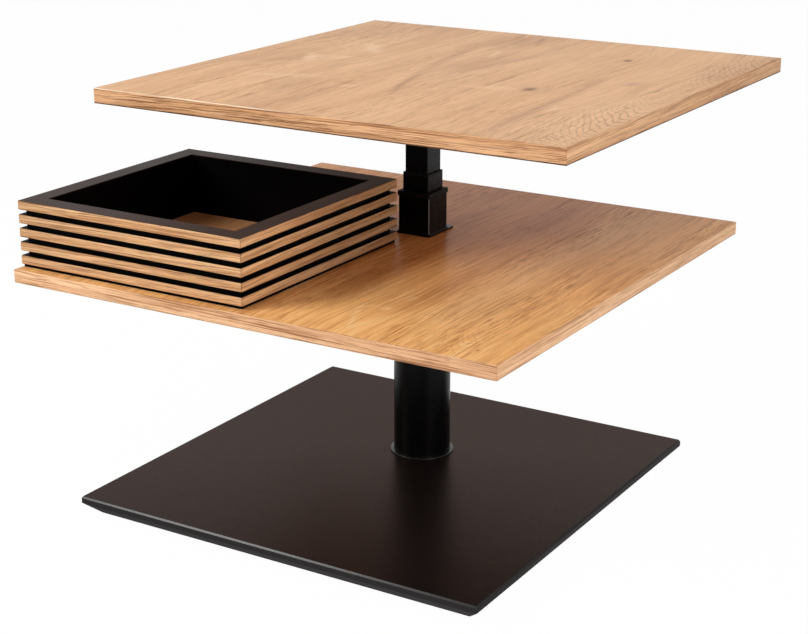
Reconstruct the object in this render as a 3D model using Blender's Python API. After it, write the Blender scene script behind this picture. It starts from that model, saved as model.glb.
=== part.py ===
"""Square coffee table on an off-centre lift column, with a shelf and a loose slatted box.

Metres, +Z up. The origin lies on the floor, on the column's axis. Front is -Y and left is -X.
The top is shown part way up its travel and turned half round, so that it overhangs at the back.
"""
import math

import bmesh
import bpy
from mathutils import Matrix, Vector

# Clearances
CLEARANCE = 0.0003
PIN_CLEARANCE = 0.0001

# Base plate and its glides
BASE_SIDE = 0.650
BASE_THICKNESS = 0.028
BASE_BAND = 0.010
BASE_UNDERCUT = 0.020
BASE_EDGE_ROUND = 0.0015
BASE_CORNER = 0.002
GLIDE_DIAMETER = 0.034
GLIDE_HEIGHT = 0.004
GLIDE_ROUND = 0.001
GLIDE_INSET = 0.070

# Shelf and top boards
SHELF_SIDE = 0.750
SHELF_THICKNESS = 0.019
TOP_SIDE = 0.740
TOP_THICKNESS = 0.022
EDGE_BAND = 0.002
EDGE_ROUND = 0.001
COLUMN_OFFSET = 0.0855
COLUMN_LENGTH = 0.326
TOP_GAP = 0.200

# Telescope: each stage is sized from the one inside it
INNER_TUBE_SIDE = 0.0375
INNER_TUBE_WALL = 0.002
INNER_TUBE_LENGTH = 0.330
SLIDE_GAP = 0.0005
MIDDLE_TUBE_WALL = 0.002
MIDDLE_TUBE_LENGTH = 0.338
MIDDLE_SHOWN = 0.027
MIDDLE_COLLAR_HEIGHT = 0.0025
GUIDE_WALL = 0.0021
GUIDE_LIP = 0.003
GUIDE_HEIGHT = 0.030
OUTER_TUBE_WALL = 0.0025
OUTER_SHOWN = 0.064
COLLAR_OVERHANG = 0.0018
COLLAR_HEIGHT = 0.0075
COLLAR_CAP = 0.0025
COLLAR_ROUND = 0.0012
TUBE_CORNER = 0.0012

# Round column round the telescope
COLUMN_ROOM = 0.0046
COLUMN_WALL = 0.002
ROSETTE_WIDTH = 0.0055
ROSETTE_HEIGHT = 0.002
ROSETTE_ROUND = 0.0008
SPACER_HEIGHT = 0.006
FOOT_FLANGE_HEIGHT = 0.006
FOOT_SCREW_DIAMETER = 0.006
FOOT_SCREW_HEAD = 0.0095
FOOT_SCREW_HEAD_HEIGHT = 0.004
FOOT_SCREW_DEPTH = 0.020
FOOT_SCREW_TIP = 0.002
SHELF_FLANGE_HEIGHT = 0.0025
SHELF_FLANGE_RIM = 0.003
SHELF_FLANGE_EAR = 0.016
SHELF_FLANGE_CORNER = 0.004

# Gas spring
GAS_CYLINDER_DIAMETER = 0.022
GAS_CYLINDER_WALL = 0.0015
GAS_CYLINDER_LENGTH = 0.355
GAS_GLAND = 0.012
GAS_FLOOR = 0.006
GAS_STUD_DIAMETER = 0.010
GAS_ROD_DIAMETER = 0.010
GAS_ROD_NECK = 0.008
GAS_ROD_LENGTH = 0.290
GAS_PISTON_HEIGHT = 0.010
VALVE_PIN_DIAMETER = 0.004
VALVE_PIN_LENGTH = 0.0105
VALVE_BORE_DEPTH = 0.011
RELEASE_HEAD_HEIGHT = 0.012

# Head of the lift: swivel bearing, plates and release lever
TOP_PLATE_SIDE = 0.110
TOP_PLATE_HEIGHT = 0.004
TOP_PLATE_CORNER = 0.012
TOP_SCREW_INSET = 0.012
TOP_SCREW_DIAMETER = 0.0045
TOP_SCREW_HEAD = 0.0085
TOP_SCREW_HEAD_HEIGHT = 0.0024
TOP_SCREW_DEPTH = 0.014
TOP_SCREW_TIP = 0.0015
RACE_DIAMETER = 0.094
RACE_WIDTH = 0.016
RACE_HEIGHT = 0.002
RACE_GROOVE_DEPTH = 0.0012
BALL_DIAMETER = 0.005
BALL_COUNT = 12
CAGE_WIDTH = 0.009
CAGE_HEIGHT = 0.0012
HEAD_PLATE_SIDE = 0.100
HEAD_PLATE_HEIGHT = 0.005
HEAD_PLATE_CORNER = 0.010
SWIVEL_BOLT_DIAMETER = 0.010
SWIVEL_BOLT_HEAD = 0.018
SWIVEL_NUT_WIDTH = 0.017
SWIVEL_NUT_HEIGHT = 0.005
LEVER_WIDTH = 0.012
LEVER_THICKNESS = 0.005
LEVER_DROP = 0.012
LEVER_TAIL = 0.004
LEVER_REACH = 0.125
LEVER_EDGE = 0.0008
LEVER_HUB_RADIUS = 0.0055
LEVER_SIDE_GAP = 0.0005
LEVER_NOTCH_DEPTH = 0.019
BRACKET_WALL = 0.003
BRACKET_DEPTH = 0.014
BRACKET_HEIGHT = 0.0185
LEVER_PIN_DIAMETER = 0.005
GRIP_LENGTH = 0.045
GRIP_WALL = 0.0035
GRIP_CORNER = 0.003
GRIP_COVER = 0.038

# Loose box on the shelf
BOX_POST_GAP = 0.04215
BOX_FRONT_INSET = 0.0155
BOX_LEFT_INSET = 0.0005
BOX_WALL = 0.029
BOX_SLAT_HEIGHT = 0.0125
BOX_GROOVE_HEIGHT = 0.0067
BOX_GROOVE_DEPTH = 0.0075
BOX_SLAT_COUNT = 5
BOX_FLOOR_THICKNESS = 0.0024
BOX_PAD_DIAMETER = 0.022
BOX_PAD_HEIGHT = 0.0008
BOX_PAD_INSET = 0.014

# Facets of round outlines
CORNER_STEPS = 4
TURN_STEPS = 40
SMALL_TURN_STEPS = 20
ROUND_STEPS = 3
HUB_STEPS = 8
BALL_SIDES = 8
BALL_BANDS = 6
SHARP_ANGLE = math.radians(35)
BEVEL_ANGLE = math.radians(50)

# Sizes worked out from the driving ones
MIDDLE_TUBE_SIDE = INNER_TUBE_SIDE + 2 * (SLIDE_GAP + MIDDLE_TUBE_WALL)
OUTER_TUBE_BORE = MIDDLE_TUBE_SIDE + 2 * GUIDE_WALL
OUTER_TUBE_SIDE = OUTER_TUBE_BORE + 2 * OUTER_TUBE_WALL
INNER_TUBE_BORE = INNER_TUBE_SIDE - 2 * INNER_TUBE_WALL
TUBE_CORNER_REACH = math.sqrt(2) * (OUTER_TUBE_SIDE / 2 - TUBE_CORNER) + TUBE_CORNER
COLUMN_BORE_RADIUS = TUBE_CORNER_REACH + COLUMN_ROOM
COLUMN_RADIUS = COLUMN_BORE_RADIUS + COLUMN_WALL
BASE_BOTTOM = GLIDE_HEIGHT + CLEARANCE
BASE_TOP = BASE_BOTTOM + BASE_THICKNESS
SHELF_BOTTOM = BASE_TOP + COLUMN_LENGTH
SHELF_TOP = SHELF_BOTTOM + SHELF_THICKNESS
TOP_BOTTOM = SHELF_TOP + TOP_GAP
TOP_OFFSET = COLUMN_OFFSET
FOOT_FLANGE_BOTTOM = BASE_TOP + CLEARANCE
FOOT_FLANGE_TOP = FOOT_FLANGE_BOTTOM + FOOT_FLANGE_HEIGHT
FOOT_SCREW_RADIUS = (OUTER_TUBE_SIDE / 2 + COLUMN_BORE_RADIUS) / 2
COLLAR_TOP = SHELF_TOP + OUTER_SHOWN
OUTER_TUBE_TOP = COLLAR_TOP - COLLAR_CAP - CLEARANCE
MIDDLE_TOP = COLLAR_TOP + MIDDLE_SHOWN
MIDDLE_TUBE_TOP = MIDDLE_TOP - MIDDLE_COLLAR_HEIGHT - CLEARANCE
TOP_PLATE_TOP = TOP_BOTTOM - CLEARANCE
UPPER_RACE_TOP = TOP_PLATE_TOP - TOP_PLATE_HEIGHT - CLEARANCE
RACE_SPACE = BALL_DIAMETER + 2 * (CLEARANCE - RACE_GROOVE_DEPTH)
LOWER_RACE_TOP = UPPER_RACE_TOP - RACE_HEIGHT - RACE_SPACE
HEAD_PLATE_TOP = LOWER_RACE_TOP - RACE_HEIGHT - CLEARANCE
INNER_TUBE_TOP = HEAD_PLATE_TOP - HEAD_PLATE_HEIGHT - CLEARANCE
BALL_RADIUS_OF_RACE = (RACE_DIAMETER - RACE_WIDTH) / 2
LEVER_LEVEL = INNER_TUBE_TOP - LEVER_DROP
LEVER_PIVOT_Y = INNER_TUBE_SIDE / 2 + CLEARANCE + BRACKET_DEPTH / 2
LEVER_SLOT_WIDTH = LEVER_WIDTH + 2 * LEVER_SIDE_GAP
VALVE_PIN_TOP = LEVER_LEVEL - LEVER_THICKNESS / 2 - CLEARANCE
RELEASE_HEAD_TOP = VALVE_PIN_TOP - VALVE_PIN_LENGTH / 2
RELEASE_HEAD_BOTTOM = RELEASE_HEAD_TOP - RELEASE_HEAD_HEIGHT
BOX_SIDE = (SHELF_SIDE / 2 + COLUMN_OFFSET - BOX_FRONT_INSET) - (
    OUTER_TUBE_SIDE / 2 + SHELF_FLANGE_RIM + BOX_POST_GAP)
BOX_X = -SHELF_SIDE / 2 + BOX_LEFT_INSET + BOX_SIDE / 2
BOX_Y = -SHELF_SIDE / 2 - COLUMN_OFFSET + BOX_FRONT_INSET + BOX_SIDE / 2
BOX_PAD_BOTTOM = SHELF_TOP + CLEARANCE
BOX_FLOOR_BOTTOM = BOX_PAD_BOTTOM + BOX_PAD_HEIGHT + CLEARANCE
BOX_WALL_BOTTOM = BOX_FLOOR_BOTTOM + BOX_FLOOR_THICKNESS + CLEARANCE
BOX_PITCH = BOX_SLAT_HEIGHT + BOX_GROOVE_HEIGHT
SIDES = ("front", "right", "back", "left")


# Materials and scene helpers

def linear(value):
    """Turn one 0-255 screen colour value into a linear one."""
    share = value / 255
    return share / 12.92 if share <= 0.04045 else ((share + 0.055) / 1.055) ** 2.4


def finish(name, red, green, blue, roughness, metallic):
    """Principled material with a plain colour."""
    material = bpy.data.materials.new(name)
    material.use_nodes = True
    shader = material.node_tree.nodes["Principled BSDF"]
    shader.inputs["Base Color"].default_value = (linear(red), linear(green), linear(blue), 1)
    shader.inputs["Roughness"].default_value = roughness
    shader.inputs["Metallic"].default_value = metallic
    return material


def make_finishes():
    """Every finish of the table by its name."""
    return {
        "light_oak": finish("light_oak", 220, 178, 144, 0.45, 0),
        "golden_oak": finish("golden_oak", 205, 152, 104, 0.40, 0),
        "black_board": finish("black_board", 46, 40, 38, 0.55, 0),
        "black_core": finish("black_core", 34, 30, 29, 0.70, 0),
        "black_powder": finish("black_powder", 22, 20, 20, 0.42, 0.2),
        "black_plastic": finish("black_plastic", 28, 26, 26, 0.50, 0),
        "bright_steel": finish("bright_steel", 176, 178, 180, 0.30, 1),
        "dark_felt": finish("dark_felt", 58, 56, 54, 0.95, 0),
    }


def clear_scene():
    """Remove every object that the file opened with."""
    for item in list(bpy.data.objects):
        bpy.data.objects.remove(item, do_unlink=True)


def axis_empty(name, x, y, z):
    """Empty that marks a joint's axis and carries the pieces that move on it."""
    empty = bpy.data.objects.new(name, None)
    empty.location = (x, y, z)
    bpy.context.scene.collection.objects.link(empty)
    return empty


def add_object(name, shape, materials, parent, place, turn=0.0):
    """Make an object of a bmesh, at a world place, turned about Z and carried by its parent.

    The shape is drawn about the object's own origin.
    """
    bmesh.ops.recalc_face_normals(shape, faces=shape.faces)
    data = bpy.data.meshes.new(name)
    shape.to_mesh(data)
    shape.free()
    data.shade_smooth()
    data.set_sharp_from_angle(angle=SHARP_ANGLE)
    for material in materials:
        data.materials.append(material)
    item = bpy.data.objects.new(name, data)
    bpy.context.scene.collection.objects.link(item)
    item.parent = parent
    item.location = Vector(place) - parent.location
    item.rotation_euler = (0, 0, turn)
    return item


def combine(target, tool, operation):
    """Cut a hidden tool out of a piece, or join it on."""
    tool.hide_render = True
    tool.display_type = "WIRE"
    change = target.modifiers.new(tool.name, "BOOLEAN")
    change.operation = operation
    change.object = tool
    change.solver = "EXACT"


# Shape helpers

def outline(half_x, half_y, corner, z, centre_y=0.0):
    """Points of a rectangle with round corners at height z."""
    points = []
    for quadrant in range(4):
        side_x = 1 if quadrant in (0, 3) else -1
        side_y = 1 if quadrant in (0, 1) else -1
        for step in range(CORNER_STEPS + 1):
            angle = (quadrant + step / CORNER_STEPS) * math.pi / 2
            x = side_x * (half_x - corner) + corner * math.cos(angle)
            y = side_y * (half_y - corner) + corner * math.sin(angle)
            points.append((x, centre_y + y, z))
    return points


def square(half, corner, z):
    """Points of a square with round corners at height z."""
    return outline(half, half, corner, z)


def near_circle(radius, z):
    """Circle with as many points as a square outline, so that the two can be skinned together."""
    return square(radius, radius - PIN_CLEARANCE, z)


def skin(loops, ring=False):
    """Closed shape over a row of outlines: capped at both ends, or joined end to end as a ring."""
    shape = bmesh.new()
    rows = [[shape.verts.new(point) for point in loop] for loop in loops]
    pairs = list(zip(rows, rows[1:]))
    if ring:
        pairs.append((rows[-1], rows[0]))
    else:
        shape.faces.new(rows[0])
        shape.faces.new(rows[-1])
    for low, high in pairs:
        for index in range(len(low)):
            after = (index + 1) % len(low)
            shape.faces.new((low[index], low[after], high[after], high[index]))
    return shape


def turned(profile, steps=TURN_STEPS, ring=False):
    """Solid of revolution about Z from (radius, height) points, closed on the axis or as a ring."""
    shape = bmesh.new()
    verts = [shape.verts.new((radius, 0, z)) for radius, z in profile]
    ends = list(zip(verts, verts[1:]))
    if ring:
        ends.append((verts[-1], verts[0]))
    edges = [shape.edges.new(pair) for pair in ends]
    bmesh.ops.spin(shape, geom=verts + edges, cent=(0, 0, 0), axis=(0, 0, 1), dvec=(0, 0, 0),
                   angle=2 * math.pi, steps=steps, use_merge=True)
    bmesh.ops.remove_doubles(shape, verts=shape.verts, dist=1e-6)
    return shape


def prism(points, length, axis):
    """Extrude a flat outline of (a, b) points along X (a is Y) or Y (a is X), centred on its length."""
    shape = bmesh.new()
    start = -length / 2
    if axis == "X":
        verts = [shape.verts.new((start, a, b)) for a, b in points]
        step = (length, 0, 0)
    else:
        verts = [shape.verts.new((a, start, b)) for a, b in points]
        step = (0, length, 0)
    face = shape.faces.new(verts)
    grown = bmesh.ops.extrude_face_region(shape, geom=[face])
    moved = [item for item in grown["geom"] if isinstance(item, bmesh.types.BMVert)]
    bmesh.ops.translate(shape, verts=moved, vec=step)
    return shape


def cylinders(radius, bottom, top, centres, steps=SMALL_TURN_STEPS):
    """Row of upright cylinders at (x, y) centres, used to cut holes."""
    shape = bmesh.new()
    upright = (bottom + top) / 2
    for x, y in centres:
        bmesh.ops.create_cone(shape, cap_ends=True, segments=steps, radius1=radius, radius2=radius,
                              depth=top - bottom, matrix=Matrix.Translation((x, y, upright)))
    return shape


def square_tube(side, wall, bottom, top):
    """Square hollow section with rounded corners, open at both ends."""
    half = side / 2
    bore = half - wall
    bore_corner = max(TUBE_CORNER - wall, CLEARANCE)
    return skin([
        square(half, TUBE_CORNER, bottom),
        square(half, TUBE_CORNER, top),
        square(bore, bore_corner, top),
        square(bore, bore_corner, bottom),
    ], ring=True)


def corner_places(half):
    """Name and (x, y) of the four corners of a square."""
    return [
        ("front_left", -half, -half),
        ("front_right", half, -half),
        ("back_left", -half, half),
        ("back_right", half, half),
    ]


def plate(side, corner, height):
    """Flat square plate with round corners, from z = 0 up."""
    return skin([square(side / 2, corner, 0), square(side / 2, corner, height)])


def countersunk_screw(diameter, head, head_height, length, tip):
    """Screw with a countersunk head whose face is at z = 0 and whose shank points up to a blunt tip."""
    radius = diameter / 2
    return turned([
        (0, length),
        (tip / 2, length),
        (radius, length - diameter),
        (radius, head_height),
        (head / 2, 0),
        (0, 0),
    ], SMALL_TURN_STEPS)


# Boards

def edge_strip(length, thickness):
    """Edge band along X with its outer long edges rounded. Its outer face is at y = 0."""
    points = [(EDGE_BAND, 0), (EDGE_BAND, thickness)]
    for centre_z, quarters in ((thickness - EDGE_ROUND, 1), (EDGE_ROUND, 2)):
        for step in range(ROUND_STEPS + 1):
            angle = (quarters + step / ROUND_STEPS) * math.pi / 2
            points.append((EDGE_ROUND + EDGE_ROUND * math.cos(angle),
                           centre_z + EDGE_ROUND * math.sin(angle)))
    return prism(points, length, "X")


def add_edge_bands(board, side, thickness, bottom, centre_y, material, parent):
    """Four edge bands round a board. Those on the left and right run over the ends of the others."""
    for quarter, name in enumerate(SIDES):
        turn = quarter * math.pi / 2
        length = side if name in ("left", "right") else side - 2 * (EDGE_BAND + CLEARANCE)
        x = side / 2 * math.sin(turn)
        y = centre_y - side / 2 * math.cos(turn)
        add_object(f"{board}_edge_{name}", edge_strip(length, thickness), [material], parent,
                   (x, y, bottom), turn)


def panel_half(side):
    """Half the side of a board's panel inside its edge bands."""
    return side / 2 - EDGE_BAND - CLEARANCE


def build_base(parent, finishes):
    """Base plate with its undercut edge, screw holes and four glides."""
    half = BASE_SIDE / 2
    loops = [
        square(half - BASE_UNDERCUT, BASE_CORNER, 0),
        square(half, BASE_CORNER, BASE_THICKNESS - BASE_BAND),
    ]
    for step in range(ROUND_STEPS + 1):
        angle = math.pi / 2 * step / ROUND_STEPS
        inset = BASE_EDGE_ROUND * (1 - math.cos(angle))
        height = BASE_THICKNESS - BASE_EDGE_ROUND * (1 - math.sin(angle))
        loops.append(square(half - inset, BASE_CORNER, height))
    base = add_object("base_plate", skin(loops), [finishes["black_board"]], parent,
                      (0, -COLUMN_OFFSET, BASE_BOTTOM))
    holes = cylinders(FOOT_SCREW_DIAMETER / 2 + CLEARANCE, -FOOT_SCREW_DEPTH - CLEARANCE,
                      CLEARANCE, screw_circle())
    tool = add_object("base_screw_holes", holes, [], parent, (0, 0, BASE_TOP))
    combine(base, tool, "DIFFERENCE")
    radius = GLIDE_DIAMETER / 2
    for name, x, y in corner_places(half - GLIDE_INSET):
        glide = turned([
            (0, GLIDE_HEIGHT),
            (radius, GLIDE_HEIGHT),
            (radius, GLIDE_ROUND),
            (radius - GLIDE_ROUND, 0),
            (0, 0),
        ], SMALL_TURN_STEPS)
        add_object(f"base_glide_{name}", glide, [finishes["dark_felt"]], parent,
                   (x, y - COLUMN_OFFSET, 0))


def build_shelf(parent, finishes):
    """Shelf panel with the square hole for the telescope, its edge bands and its flange."""
    oak = finishes["golden_oak"]
    hole = OUTER_TUBE_SIDE / 2 + CLEARANCE
    half = panel_half(SHELF_SIDE)
    loops = [
        outline(half, half, EDGE_ROUND, 0, -COLUMN_OFFSET),
        outline(half, half, EDGE_ROUND, SHELF_THICKNESS, -COLUMN_OFFSET),
        square(hole, TUBE_CORNER, SHELF_THICKNESS),
        square(hole, TUBE_CORNER, 0),
    ]
    add_object("shelf_panel", skin(loops, ring=True), [oak], parent, (0, 0, SHELF_BOTTOM))
    add_edge_bands("shelf", SHELF_SIDE, SHELF_THICKNESS, SHELF_BOTTOM, -COLUMN_OFFSET, oak, parent)

    front = OUTER_TUBE_SIDE / 2 + SHELF_FLANGE_RIM
    back = OUTER_TUBE_SIDE / 2 + SHELF_FLANGE_EAR
    middle = (back - front) / 2
    depth = (back + front) / 2
    flange = skin([
        outline(front, depth, SHELF_FLANGE_CORNER, 0, middle),
        outline(front, depth, SHELF_FLANGE_CORNER, SHELF_FLANGE_HEIGHT, middle),
        square(hole, TUBE_CORNER, SHELF_FLANGE_HEIGHT),
        square(hole, TUBE_CORNER, 0),
    ], ring=True)
    add_object("shelf_flange", flange, [finishes["black_powder"]], parent,
               (0, 0, SHELF_TOP + CLEARANCE))


def build_top(parent, finishes):
    """Top panel with its edge bands, the plate under it and that plate's screws."""
    oak = finishes["light_oak"]
    half = panel_half(TOP_SIDE)
    loops = [
        outline(half, half, EDGE_ROUND, 0, TOP_OFFSET),
        outline(half, half, EDGE_ROUND, TOP_THICKNESS, TOP_OFFSET),
    ]
    panel = add_object("top_panel", skin(loops), [oak], parent, (0, 0, TOP_BOTTOM))
    add_edge_bands("top", TOP_SIDE, TOP_THICKNESS, TOP_BOTTOM, TOP_OFFSET, oak, parent)

    places = corner_places(TOP_PLATE_SIDE / 2 - TOP_SCREW_INSET)
    centres = [(x, y) for _, x, y in places]
    pilot = cylinders(TOP_SCREW_DIAMETER / 2 + CLEARANCE, -CLEARANCE, TOP_SCREW_DEPTH + CLEARANCE,
                      centres)
    pilot_tool = add_object("top_screw_holes", pilot, [], parent, (0, 0, TOP_BOTTOM))
    combine(panel, pilot_tool, "DIFFERENCE")

    top_plate = add_object("top_plate", plate(TOP_PLATE_SIDE, TOP_PLATE_CORNER, TOP_PLATE_HEIGHT),
                           [finishes["bright_steel"]], parent,
                           (0, 0, TOP_PLATE_TOP - TOP_PLATE_HEIGHT))
    head_radius = TOP_SCREW_HEAD / 2 + CLEARANCE
    shank_radius = TOP_SCREW_DIAMETER / 2 + CLEARANCE
    bolt_radius = SWIVEL_BOLT_DIAMETER / 2 + CLEARANCE
    bolt_head_radius = SWIVEL_BOLT_HEAD / 2 + CLEARANCE
    sinks = bmesh.new()
    for x, y in centres:
        sink = turned([
            (0, TOP_PLATE_HEIGHT + CLEARANCE),
            (shank_radius, TOP_PLATE_HEIGHT + CLEARANCE),
            (shank_radius, TOP_SCREW_HEAD_HEIGHT),
            (head_radius, 0),
            (head_radius, -CLEARANCE),
            (0, -CLEARANCE),
        ], SMALL_TURN_STEPS)
        append_shape(sinks, sink, (x, y, 0))
    bolt_sink = turned([
        (0, TOP_PLATE_HEIGHT + CLEARANCE),
        (bolt_head_radius, TOP_PLATE_HEIGHT + CLEARANCE),
        (bolt_head_radius, TOP_PLATE_HEIGHT),
        (bolt_radius, TOP_PLATE_HEIGHT - (bolt_head_radius - bolt_radius)),
        (bolt_radius, -CLEARANCE),
        (0, -CLEARANCE),
    ])
    append_shape(sinks, bolt_sink, (0, 0, 0))
    sink_tool = add_object("top_plate_sinks", sinks, [], parent,
                           (0, 0, TOP_PLATE_TOP - TOP_PLATE_HEIGHT))
    combine(top_plate, sink_tool, "DIFFERENCE")

    length = TOP_PLATE_HEIGHT + CLEARANCE + TOP_SCREW_DEPTH
    for name, x, y in places:
        screw = countersunk_screw(TOP_SCREW_DIAMETER, TOP_SCREW_HEAD, TOP_SCREW_HEAD_HEIGHT, length,
                                  TOP_SCREW_TIP)
        add_object(f"top_screw_{name}", screw, [finishes["bright_steel"]], parent,
                   (x, y, TOP_PLATE_TOP - TOP_PLATE_HEIGHT))


def append_shape(target, extra, place):
    """Move a shape to its place and add it to another."""
    bmesh.ops.recalc_face_normals(extra, faces=extra.faces)
    bmesh.ops.translate(extra, verts=extra.verts, vec=place)
    holder = bpy.data.meshes.new("holder")
    extra.to_mesh(holder)
    extra.free()
    target.from_mesh(holder)
    bpy.data.meshes.remove(holder)


# Column and telescope

def screw_circle():
    """Centres of the four foot screws, one at the middle of each side of the telescope."""
    return [
        (0, -FOOT_SCREW_RADIUS),
        (FOOT_SCREW_RADIUS, 0),
        (0, FOOT_SCREW_RADIUS),
        (-FOOT_SCREW_RADIUS, 0),
    ]


def build_column(parent, finishes):
    """Round column with its rosette, spacer, foot flange and screws."""
    powder = finishes["black_powder"]
    height = COLUMN_LENGTH - 2 * CLEARANCE
    column = turned([
        (COLUMN_RADIUS, height),
        (COLUMN_RADIUS, 0),
        (COLUMN_BORE_RADIUS, 0),
        (COLUMN_BORE_RADIUS, height),
    ], ring=True)
    add_object("column_tube", column, [powder], parent, (0, 0, BASE_TOP + CLEARANCE))

    rim = COLUMN_RADIUS + ROSETTE_WIDTH
    hole = COLUMN_RADIUS + CLEARANCE
    rosette = turned([
        (hole, ROSETTE_HEIGHT),
        (rim - ROSETTE_ROUND, ROSETTE_HEIGHT),
        (rim, ROSETTE_HEIGHT - ROSETTE_ROUND),
        (rim, 0),
        (hole, 0),
    ], ring=True)
    add_object("column_rosette", rosette, [powder], parent, (0, 0, BASE_TOP + CLEARANCE))

    tube = OUTER_TUBE_SIDE / 2 + CLEARANCE
    bore = COLUMN_BORE_RADIUS - CLEARANCE
    spacer = skin([
        near_circle(bore, 0),
        near_circle(bore, SPACER_HEIGHT),
        square(tube, TUBE_CORNER, SPACER_HEIGHT),
        square(tube, TUBE_CORNER, 0),
    ], ring=True)
    add_object("column_spacer", spacer, [finishes["black_plastic"]], parent,
               (0, 0, SHELF_BOTTOM - CLEARANCE - SPACER_HEIGHT))

    stud_hole = GAS_STUD_DIAMETER / 2 + CLEARANCE
    flange = turned([
        (bore, FOOT_FLANGE_HEIGHT),
        (bore, 0),
        (stud_hole, 0),
        (stud_hole, FOOT_FLANGE_HEIGHT),
    ], ring=True)
    foot = add_object("foot_flange", flange, [finishes["bright_steel"]], parent,
                      (0, 0, FOOT_FLANGE_BOTTOM))
    holes = cylinders(FOOT_SCREW_DIAMETER / 2 + CLEARANCE, -CLEARANCE,
                      FOOT_FLANGE_HEIGHT + CLEARANCE, screw_circle())
    tool = add_object("foot_flange_holes", holes, [], parent, (0, 0, FOOT_FLANGE_BOTTOM))
    combine(foot, tool, "DIFFERENCE")

    shank = FOOT_SCREW_DIAMETER / 2
    tip = BASE_TOP - FOOT_SCREW_DEPTH - FOOT_FLANGE_TOP - CLEARANCE
    for name, (x, y) in zip(SIDES, screw_circle()):
        screw = turned([
            (0, FOOT_SCREW_HEAD_HEIGHT),
            (FOOT_SCREW_HEAD / 2, FOOT_SCREW_HEAD_HEIGHT),
            (FOOT_SCREW_HEAD / 2, 0),
            (shank, 0),
            (shank, tip + FOOT_SCREW_DIAMETER),
            (FOOT_SCREW_TIP / 2, tip),
            (0, tip),
        ], SMALL_TURN_STEPS)
        add_object(f"foot_screw_{name}", screw, [finishes["bright_steel"]], parent,
                   (x, y, FOOT_FLANGE_TOP + CLEARANCE))


def build_outer_stage(parent, finishes):
    """Fixed outer tube with the moulded collar on its upper end."""
    bottom = FOOT_FLANGE_TOP + CLEARANCE
    tube = square_tube(OUTER_TUBE_SIDE, OUTER_TUBE_WALL, 0, OUTER_TUBE_TOP - bottom)
    add_object("outer_tube", tube, [finishes["black_powder"]], parent, (0, 0, bottom))

    lip = OUTER_TUBE_SIDE / 2 + COLLAR_OVERHANG
    lip_corner = TUBE_CORNER + COLLAR_OVERHANG
    skirt = OUTER_TUBE_SIDE / 2 + CLEARANCE
    sleeve = OUTER_TUBE_BORE / 2 - CLEARANCE
    sleeve_corner = TUBE_CORNER / 2
    slide = MIDDLE_TUBE_SIDE / 2 + CLEARANCE
    cap = COLLAR_HEIGHT - COLLAR_CAP
    loops = [square(skirt, TUBE_CORNER, 0)]
    for centre_z, quarters in ((COLLAR_ROUND, -1), (COLLAR_HEIGHT - COLLAR_ROUND, 0)):
        for step in range(ROUND_STEPS + 1):
            angle = (quarters + step / ROUND_STEPS) * math.pi / 2
            inset = COLLAR_ROUND * (1 - math.cos(angle))
            height = centre_z + COLLAR_ROUND * math.sin(angle)
            loops.append(square(lip - inset, lip_corner - inset, height))
    loops.append(square(slide, TUBE_CORNER, COLLAR_HEIGHT))
    loops.append(square(slide, TUBE_CORNER, COLLAR_HEIGHT - GUIDE_HEIGHT))
    loops.append(square(sleeve, sleeve_corner, COLLAR_HEIGHT - GUIDE_HEIGHT))
    loops.append(square(sleeve, sleeve_corner, cap))
    loops.append(square(skirt, TUBE_CORNER, cap))
    add_object("outer_collar", skin(loops, ring=True), [finishes["black_plastic"]], parent,
               (0, 0, COLLAR_TOP - COLLAR_HEIGHT))


def build_middle_stage(parent, finishes):
    """Middle tube with the thin collar on its upper end and the guide round its lower end."""
    length = MIDDLE_TUBE_LENGTH
    half = MIDDLE_TUBE_SIDE / 2
    tube = square_tube(MIDDLE_TUBE_SIDE, MIDDLE_TUBE_WALL, 0, length)
    bottom = MIDDLE_TUBE_TOP - length
    add_object("middle_tube", tube, [finishes["black_powder"]], parent, (0, 0, bottom))

    slide = INNER_TUBE_SIDE / 2 + CLEARANCE
    collar = skin([
        square(half, TUBE_CORNER, 0),
        square(half, TUBE_CORNER, MIDDLE_COLLAR_HEIGHT),
        square(slide, TUBE_CORNER, MIDDLE_COLLAR_HEIGHT),
        square(slide, TUBE_CORNER, 0),
    ], ring=True)
    add_object("middle_collar", collar, [finishes["black_plastic"]], parent,
               (0, 0, MIDDLE_TUBE_TOP + CLEARANCE))

    shoe = OUTER_TUBE_BORE / 2 - CLEARANCE
    grip = half + CLEARANCE
    bore = half - MIDDLE_TUBE_WALL
    guide = skin([
        square(shoe, TUBE_CORNER / 2, 0),
        square(shoe, TUBE_CORNER / 2, GUIDE_HEIGHT),
        square(grip, TUBE_CORNER, GUIDE_HEIGHT),
        square(grip, TUBE_CORNER, GUIDE_LIP),
        square(bore, TUBE_CORNER / 2, GUIDE_LIP),
        square(bore, TUBE_CORNER / 2, 0),
    ], ring=True)
    add_object("middle_guide", guide, [finishes["black_plastic"]], parent,
               (0, 0, bottom - CLEARANCE - GUIDE_LIP))


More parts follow.
